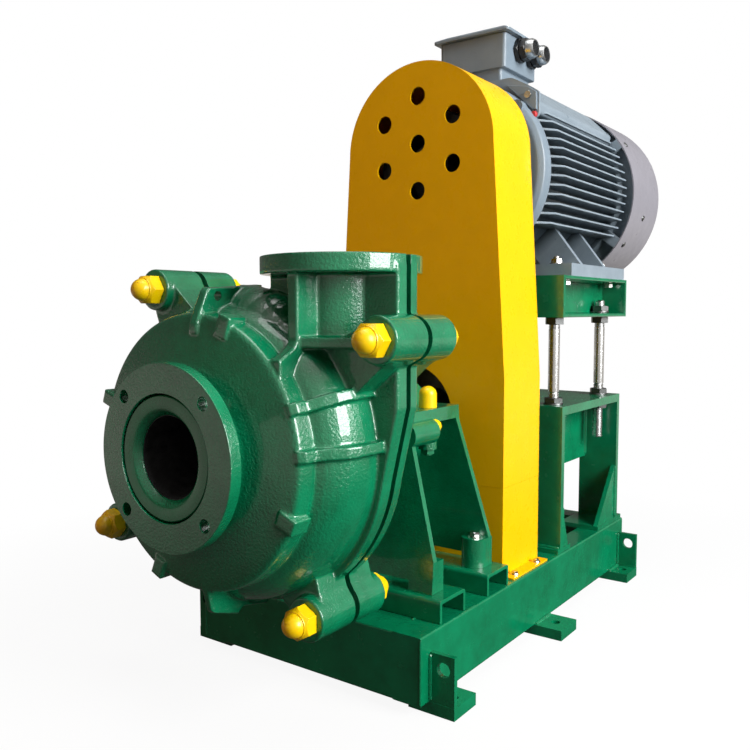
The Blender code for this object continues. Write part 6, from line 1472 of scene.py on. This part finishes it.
def build_motor_ends():
    """The drive-end and fan-end shields."""
    middle = at(MOTOR_X, 0, MOTOR_Z)
    start, end, thick = MOTOR_FRONT, MOTOR_BACK, 0.022
    seat_r, shaft_r, seat = 0.1262, 0.025, 0.011
    face = start - GAP - thick
    rows = softened([(face - 0.006, 0.050), (face - 0.006, 0.058), (face, 0.066), (face + 0.001, 0.148),
                     (face + 0.006, 0.158), (start - GAP, 0.160), (start - GAP, seat_r),
                     (start + seat, seat_r)], 0.003, 3)
    shapes = [lathe(rows, middle, 128, bore=[(face - 0.006, shaft_r), (start + seat, shaft_r)])]
    for count in range(4):
        angle = math.radians(45 + 90 * count)
        x, z = MOTOR_X + 0.150 * math.cos(angle), MOTOR_Z + 0.150 * math.sin(angle)
        shapes.append(rod((x, face + 0.0005, z), (x, start - GAP, z), 0.0115, 40))
    shown(gathered(shapes), "drive_shield_casting", FINISHES["motor_enamel"], "motor_platform",
          ["drive_end_shield"])
    back, rim_r, root_r, arm = end + GAP + thick, 0.1812, 0.1500, 0.011
    rows = [(end - seat, seat_r), (end + GAP, seat_r), (end + GAP, root_r), (end + 0.014, 0.1560),
            (end + 0.0155, rim_r), (back, rim_r)]
    shield = lathe(rows, middle, 128, bore=[(end - seat, shaft_r), (back, shaft_r)])
    arms = []
    for angle in (math.radians(a) for a in SHIELD_ARMS):
        cos, sin = math.cos(angle), math.sin(angle)
        corners = ((root_r - 0.002, -arm), (rim_r, -arm), (rim_r, arm), (root_r - 0.002, arm))
        arms.append(slab([(MOTOR_X + u * cos - v * sin, MOTOR_Z + u * sin + v * cos) for u, v in corners],
                         end + GAP, back - 0.001))
    joined(shield, *arms)
    # The fan shield takes the fins' paint, so its part inside the fins' reach is darkened as painted shade.
    shown(shield, "fan_shield_casting", FINISHES["fin_enamel"], "motor_platform",
          ["fan_end_shield"])


def build_fan_cover():
    """The pressed fan cowl with its rolled corner, grille slots and fixing screws."""
    middle = at(MOTOR_X, 0, MOTOR_Z)
    start = MOTOR_BACK + GAP * 2
    end, radius, wall, corner = start + 0.180, 0.184, 0.0025, 0.020

    def profile(reach, back):
        bend = [(back - corner + corner * math.sin(a), reach - corner + corner * math.cos(a))
                for a in (math.radians(d) for d in range(0, 91, 10))]
        return [(start, reach)] + bend

    cowl = lathe(profile(radius, end), middle, 160)
    inner = profile(radius - wall, end - wall)
    inner[0] = (start - OVERRUN, radius - wall)
    carved(cowl, lathe(inner, middle, 128))
    # Each grille slot runs from the bar across the middle out to a circle.
    pitch, slot_half, bar_half, grille_r = 0.0165, 0.003, 0.006, radius * 0.76
    for count in range(-7, 8):
        x = MOTOR_X + count * pitch
        half = math.sqrt(grille_r ** 2 - (x - MOTOR_X) ** 2)
        for low, high in ((-half, -bar_half), (bar_half, half)):
            carved(cowl, brick((x - slot_half, end - 0.012, MOTOR_Z + low),
                               (x + slot_half, end + OVERRUN, MOTOR_Z + high)))
    eased(cowl, 0.0006, 2, 40)
    shown(cowl, "fan_cowl_pressing", FINISHES["cowl_coat"], "motor_platform", ["fan_cowl"], 35)
    screws = []
    screw_rows = [(-0.001, 0.0062), (0.0002, 0.0062), (0.0012, 0.0058), (0.0022, 0.0045), (0.0028, 0.0020)]
    for degrees, back in [(a, 0.034) for a in SHIELD_ARMS] + [(345.4, 0.077), (194.6, 0.077)]:
        cos, sin = math.cos(math.radians(degrees)), math.sin(math.radians(degrees))
        place = (MOTOR_X + radius * cos, start + back, MOTOR_Z + radius * sin)
        screws.append(spun(screw_rows, place, (cos, 0, sin), sides=32))
    shown(gathered(screws), "cowl_screws", FINISHES["black_steel"], "motor_platform")


def oblong(half, start, end, grow, radius):
    """A rectangle round the motor's axis in plan, its corners rounded."""
    low, high = MOTOR_X - half - grow, MOTOR_X + half + grow
    start, end = start - grow, end + grow
    return softened([(low, start), (high, start), (high, end), (low, end)], radius, 5, True)


def build_connection_box():
    """The terminal box on its neck and the lid with sloped sides."""
    low = MOTOR_Z + DECK_TOP + GAP
    start, end, half = 0.705, 0.831, 0.067
    floor = MOTOR_Z + 0.188
    top = floor + 0.060
    box = slab(oblong(half, start, end, 0.0, 0.007), floor, top, facing="Z")
    neck = oblong(half - 0.005, start, end, -0.005, 0.006)
    joined(box, slab(neck, low, floor + 0.002, facing="Z"))
    for vertex in box.data.vertices:
        if floor - 0.0005 < vertex.co.z < floor + 0.0005:
            vertex.co.x = MOTOR_X + (vertex.co.x - MOTOR_X) * 0.985
    eased(box, 0.0018, 3, 38)
    shown(box, "terminal_box_casting", FINISHES["motor_enamel"], "motor_platform",
          ["terminal_box"], 40)
    lid_low = top + GAP
    rim, slope_low = lid_low + 0.005, lid_low + 0.010
    lid = slab(oblong(half, start, end, 0.009, 0.006), lid_low, lid_low + 0.0133, facing="Z")
    centre = at(MOTOR_X, (start + end) / 2, 0)
    bm = bmesh.new()
    bm.from_mesh(lid.data)
    bmesh.ops.bisect_plane(bm, geom=bm.verts[:] + bm.edges[:] + bm.faces[:], plane_co=(0, 0, rim),
                           plane_no=(0, 0, 1))
    for vertex in bm.verts:
        if vertex.co.z > slope_low:
            vertex.co.x = centre.x + (vertex.co.x - centre.x) * 0.80
            vertex.co.y = centre.y + (vertex.co.y - centre.y) * 0.76
    bm.to_mesh(lid.data)
    bm.free()
    eased(lid, 0.0012, 3, 20)
    shown(lid, "terminal_lid_casting", FINISHES["motor_enamel"], "motor_platform",
          ["terminal_lid"], 30)
    screws = []
    for side in (-1, 1):
        for station in (start + 0.006, end - 0.006):
            screws.append(hexagon(MOTOR_X + side * (half - 0.001), station, rim + 0.0005, (0, 0, 1), 0.0042,
                                  0.0036))
    shown(gathered(screws), "lid_screws", FINISHES["zinc"], "motor_platform")
    build_cable_glands(MOTOR_X + half + GAP, (start + end) / 2 + 0.012, floor + 0.038)


def build_cable_glands(face, centre, z):
    """The two cable glands on the side of the terminal box: body, plated nut and rubber seal."""
    for count, share in enumerate((-0.5, 0.5)):
        place = (face, centre + 0.047 * share, z)
        station = place[1]
        parts = [
            hexagon(face, station, z, (1, 0, 0), 0.0192, 0.0075),
            spun([(0.0070, 0.0168), (0.0100, 0.0168)], place, (1, 0, 0), 48),
            hexagon(face + 0.0098, station, z, (1, 0, 0), 0.0180, 0.0100),
        ]
        nut = spun([(0.0195, 0.0172), (0.0215, 0.0176), (0.0290, 0.0170), (0.0330, 0.0150), (0.0340, 0.0142)],
                   place, (1, 0, 0), 64, bore=[(0.0195, 0.0122), (0.0300, 0.0122), (0.0340, 0.0128)])
        shown(gathered(parts), f"gland_body_{count + 1}", FINISHES["nylon"], "motor_platform",
              [f"cable_gland_{count + 1}"])
        seal = spun([(0.0195, 0.0121), (0.0240, 0.0121)], place, (1, 0, 0), 40)
        shown(nut, f"gland_nut_{count + 1}", FINISHES["nickel"], "motor_platform")
        shown(seal, f"gland_seal_{count + 1}", FINISHES["rubber"], "motor_platform")


def finish_kept_nodes():
    """Gives the pieces that keep their own solid a real finish."""
    finishes = {
        "volute_liner": "rubber", "back_liner": "iron", "impeller": "iron", "stuffing_box": "cast_enamel",
        "gland_packing": "rubber", "gland": "bronze", "pump_shaft": "zinc", "shaft_sleeve": "zinc",
        "front_bearing": "zinc", "rear_bearing": "zinc", "motor_rotor": "zinc", "pump_pulley": "iron",
        "motor_pulley": "iron", "motor_fan": "nylon", "v_belt_1": "rubber", "v_belt_2": "rubber",
        "v_belt_3": "rubber",
    }
    finishes.update({f"casing_bolt_{name}": "zinc" for name in LUG_NAMES})
    for node, finish_name in finishes.items():
        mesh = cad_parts[node].data
        for index in range(len(mesh.materials)):
            mesh.materials[index] = FINISHES[finish_name]


# Stage


def build_floor(stage):
    """A matt white floor that keeps the shadow, and that gloss sees brighter further out."""
    bm = bmesh.new()
    bmesh.ops.create_grid(bm, x_segments=1, y_segments=1, size=30.0)
    floor = to_object(bm, "floor")
    material, tree, shader, place = new_material("matt_white_floor")
    output = tree.nodes["Material Output"]
    shader.inputs["Roughness"].default_value = 1.0
    shader.inputs["Specular IOR Level"].default_value = 0.0
    path = add_node(tree, "ShaderNodeLightPath")
    seen = path.outputs["Is Camera Ray"]
    # The camera sees a white floor, and the pump gets only the weak light of a dull one from below.
    tree.links.new(blended(tree, seen, (0.11, 0.105, 0.10), (0.90, 0.90, 0.90)), shader.inputs["Base Color"])
    glow = add_node(tree, "ShaderNodeEmission", in_Color=(1, 1, 1, 1), in_Strength=1.0)
    away = add_node(tree, "ShaderNodeVectorMath", {0: place}, operation="LENGTH").outputs["Value"]
    share = spread(tree, away, 0.55, 1.15, stage.floor_lift, 1.0)
    for_camera = add_node(tree, "ShaderNodeMath", {0: share, 1: seen}, operation="MULTIPLY").outputs[0]
    mix = add_node(tree, "ShaderNodeMixShader", {0: for_camera, 1: shader.outputs[0], 2: glow.outputs[0]})
    mirror = spread(tree, away, 0.8, 2.2, stage.glints * 0.12, stage.glints * 1.15)
    room = add_node(tree, "ShaderNodeEmission", {"Strength": mirror}, in_Color=(1.0, 0.93, 0.84, 1))
    both = add_node(
        tree, "ShaderNodeMixShader",
        {0: path.outputs["Is Glossy Ray"], 1: mix.outputs[0], 2: room.outputs[0]})
    tree.links.new(both.outputs[0], output.inputs["Surface"])
    floor.data.materials.append(material)


def build_world(scene, stage):
    """White for the camera, weak even light for the paint, and a bright side of the room for its gloss."""
    world = bpy.data.worlds.new("studio")
    scene.world = world
    world.use_nodes = True
    tree = world.node_tree
    tree.nodes.clear()
    output = add_node(tree, "ShaderNodeOutputWorld")
    path = add_node(tree, "ShaderNodeLightPath")
    sky = add_node(tree, "ShaderNodeBackground", in_Color=(1, 1, 1, 1), in_Strength=stage.sky)
    white = add_node(tree, "ShaderNodeBackground", in_Color=(1, 1, 1, 1), in_Strength=1.0)
    mix = add_node(
        tree, "ShaderNodeMixShader",
        {0: path.outputs["Is Camera Ray"], 1: sky.outputs[0], 2: white.outputs[0]})
    heading = add_node(tree, "ShaderNodeTexCoord").outputs["Generated"]
    towards = add_node(
        tree, "ShaderNodeVectorMath", {0: heading}, operation="DOT_PRODUCT", in_1=WINDOW_SIDE
    ).outputs["Value"]
    strength = spread(tree, towards, 0.0, 0.95, stage.glints * 0.25, stage.glints * 1.8)
    room = add_node(tree, "ShaderNodeBackground", {"Strength": strength}, in_Color=(1.0, 0.95, 0.88, 1))
    both = add_node(
        tree, "ShaderNodeMixShader",
        {0: path.outputs["Is Glossy Ray"], 1: mix.outputs[0], 2: room.outputs[0]})
    tree.links.new(both.outputs[0], output.inputs["Surface"])


def build_lamps(scene, stage):
    """A large key lamp on the discharge side, one above and a weak warm one before the suction side."""
    white = (1.0, 1.0, 1.0)
    lamps = (
        ("key_lamp", (2.9, -0.22, 1.5), 1.7, stage.key_power, white),
        ("top_lamp", (0.2, -0.5, 2.9), 1.5, stage.top_power, white),
        ("front_lamp", (-1.6, -2.8, 1.5), 2.2, stage.front_power, (1.0, 0.42, 0.12)),
    )
    for name, place, size, power, colour in lamps:
        light = bpy.data.lights.new(name, "AREA")
        light.shape = "SQUARE"
        light.size = size
        light.energy = power
        light.color = colour
        lamp = bpy.data.objects.new(name, light)
        lamp.location = place
        lamp.rotation_euler = (LAMP_AIM - Vector(place)).to_track_quat("-Z", "Y").to_euler()
        lamp.visible_glossy = name != "front_lamp"
        scene.collection.objects.link(lamp)


def build_camera(scene):
    """The camera at the photograph's place, angle and lens."""
    data = bpy.data.cameras.new("photo_camera")
    camera = bpy.data.objects.new("photo_camera", data)
    scene.collection.objects.link(camera)
    yaw, pitch, roll = CAMERA_TURN
    ahead = Vector((-math.sin(yaw) * math.cos(pitch), math.cos(yaw) * math.cos(pitch), math.sin(pitch)))
    level = Vector((math.cos(yaw), math.sin(yaw), 0))
    upright = level.cross(ahead)
    right = math.cos(roll) * level + math.sin(roll) * upright
    up = -math.sin(roll) * level + math.cos(roll) * upright
    pose = Matrix((right, up, -ahead)).transposed().to_4x4()
    pose.translation = CAMERA_SPOT
    camera.matrix_world = pose
    data.sensor_width = 36.0
    data.lens = CAMERA_LENS
    data.shift_x, data.shift_y = CAMERA_SHIFT
    data.clip_start = 0.05
    data.clip_end = 200.0
    scene.camera = camera


def build_floor_and_light():
    """A pale floor, soft lamps and the camera."""
    scene = bpy.context.scene
    build_floor(scene.pump_stage)
    build_world(scene, scene.pump_stage)
    build_lamps(scene, scene.pump_stage)
    scene.view_settings.view_transform = "Standard"
    build_camera(scene)


# Operators


class PUMP_OT_finishes(bpy.types.Operator):
    """Makes the paints, metals and plastics"""

    bl_idname = "pump.finishes"
    bl_label = "Make Finishes"

    def execute(self, context):
        make_finishes()
        return {"FINISHED"}


class PUMP_OT_castings(bpy.types.Operator):
    """Builds the two casing halves and the intake ring"""

    bl_idname = "pump.castings"
    bl_label = "Build Casing Castings"

    def execute(self, context):
        build_front_casting()
        build_rear_casting()
        build_intake_ring()
        return {"FINISHED"}


class PUMP_OT_caps(bpy.types.Operator):
    """Builds the yellow nut caps"""

    bl_idname = "pump.caps"
    bl_label = "Build Nut Caps"

    def execute(self, context):
        build_casing_caps()
        build_clamp_caps()
        return {"FINISHED"}


class PUMP_OT_pedestal(bpy.types.Operator):
    """Builds the pedestal and the bearing cartridge"""

    bl_idname = "pump.pedestal"
    bl_label = "Build Pedestal and Bearing"

    def execute(self, context):
        build_bearing_group()
        build_pedestal()
        return {"FINISHED"}


class PUMP_OT_steelwork(bpy.types.Operator):
    """Builds the skid, its cross channels and the motor stand"""

    bl_idname = "pump.steelwork"
    bl_label = "Build Skid and Stand"

    def execute(self, context):
        build_skid_frame()
        build_support_channels()
        build_stand()
        return {"FINISHED"}


class PUMP_OT_platform(bpy.types.Operator):
    """Builds the motor platform and its jacking rods"""

    bl_idname = "pump.platform"
    bl_label = "Build Platform and Rods"

    def execute(self, context):
        build_platform_frame()
        build_jacking_rods()
        return {"FINISHED"}


class PUMP_OT_guard(bpy.types.Operator):
    """Builds the belt guard"""

    bl_idname = "pump.guard"
    bl_label = "Build Belt Guard"

    def execute(self, context):
        build_belt_guard()
        return {"FINISHED"}


class PUMP_OT_motor(bpy.types.Operator):
    """Builds the motor, its cowl and its terminal box"""

    bl_idname = "pump.motor"
    bl_label = "Build Motor"

    def execute(self, context):
        build_motor_body()
        build_motor_ends()
        build_fan_cover()
        build_connection_box()
        return {"FINISHED"}


class PUMP_OT_kept(bpy.types.Operator):
    """Gives the remaining solids their finishes"""

    bl_idname = "pump.kept"
    bl_label = "Finish Inner Pieces"

    def execute(self, context):
        finish_kept_nodes()
        return {"FINISHED"}


class PUMP_OT_stage(bpy.types.Operator):
    """Sets up the floor, the light and the camera"""

    bl_idname = "pump.stage"
    bl_label = "Set Up Stage"

    def execute(self, context):
        build_floor_and_light()
        return {"FINISHED"}


STEPS = (PUMP_OT_finishes, PUMP_OT_castings, PUMP_OT_caps, PUMP_OT_pedestal, PUMP_OT_steelwork,
         PUMP_OT_platform, PUMP_OT_guard, PUMP_OT_motor, PUMP_OT_kept, PUMP_OT_stage)


class PUMP_PT_panel(bpy.types.Panel):
    """Sizes, colours and building steps of the pump set"""

    bl_idname = "PUMP_PT_panel"
    bl_label = "Slurry Pump Set"
    bl_space_type = "VIEW_3D"
    bl_region_type = "UI"
    bl_category = "Pump Set"

    def draw(self, context):
        for group in (context.scene.pump_colours, context.scene.pump_casting, context.scene.pump_stage):
            box = self.layout.box()
            for name in group.bl_rna.properties.keys():
                if name not in ("rna_type", "name"):
                    box.prop(group, name)
        for step in STEPS:
            self.layout.operator(step.bl_idname)


GROUPS = (("pump_colours", PumpColours), ("pump_casting", PumpCasting), ("pump_stage", PumpStage))


def register():
    """Registers the settings, the steps and the panel."""
    for name, group in GROUPS:
        bpy.utils.register_class(group)
        setattr(bpy.types.Scene, name, PointerProperty(type=group))
    for step in STEPS + (PUMP_PT_panel,):
        bpy.utils.register_class(step)


def unregister():
    """Takes the settings, the steps and the panel away again."""
    for step in reversed(STEPS + (PUMP_PT_panel,)):
        bpy.utils.unregister_class(step)
    for name, group in reversed(GROUPS):
        delattr(bpy.types.Scene, name)
        bpy.utils.unregister_class(group)


def main():
    """Builds everything."""
    register()
    bpy.ops.pump.finishes()
    bpy.ops.pump.castings()
    bpy.ops.pump.caps()
    bpy.ops.pump.pedestal()
    bpy.ops.pump.steelwork()
    bpy.ops.pump.platform()
    bpy.ops.pump.guard()
    bpy.ops.pump.motor()
    bpy.ops.pump.kept()
    bpy.ops.pump.stage()


if __name__ == "__main__":
    main()
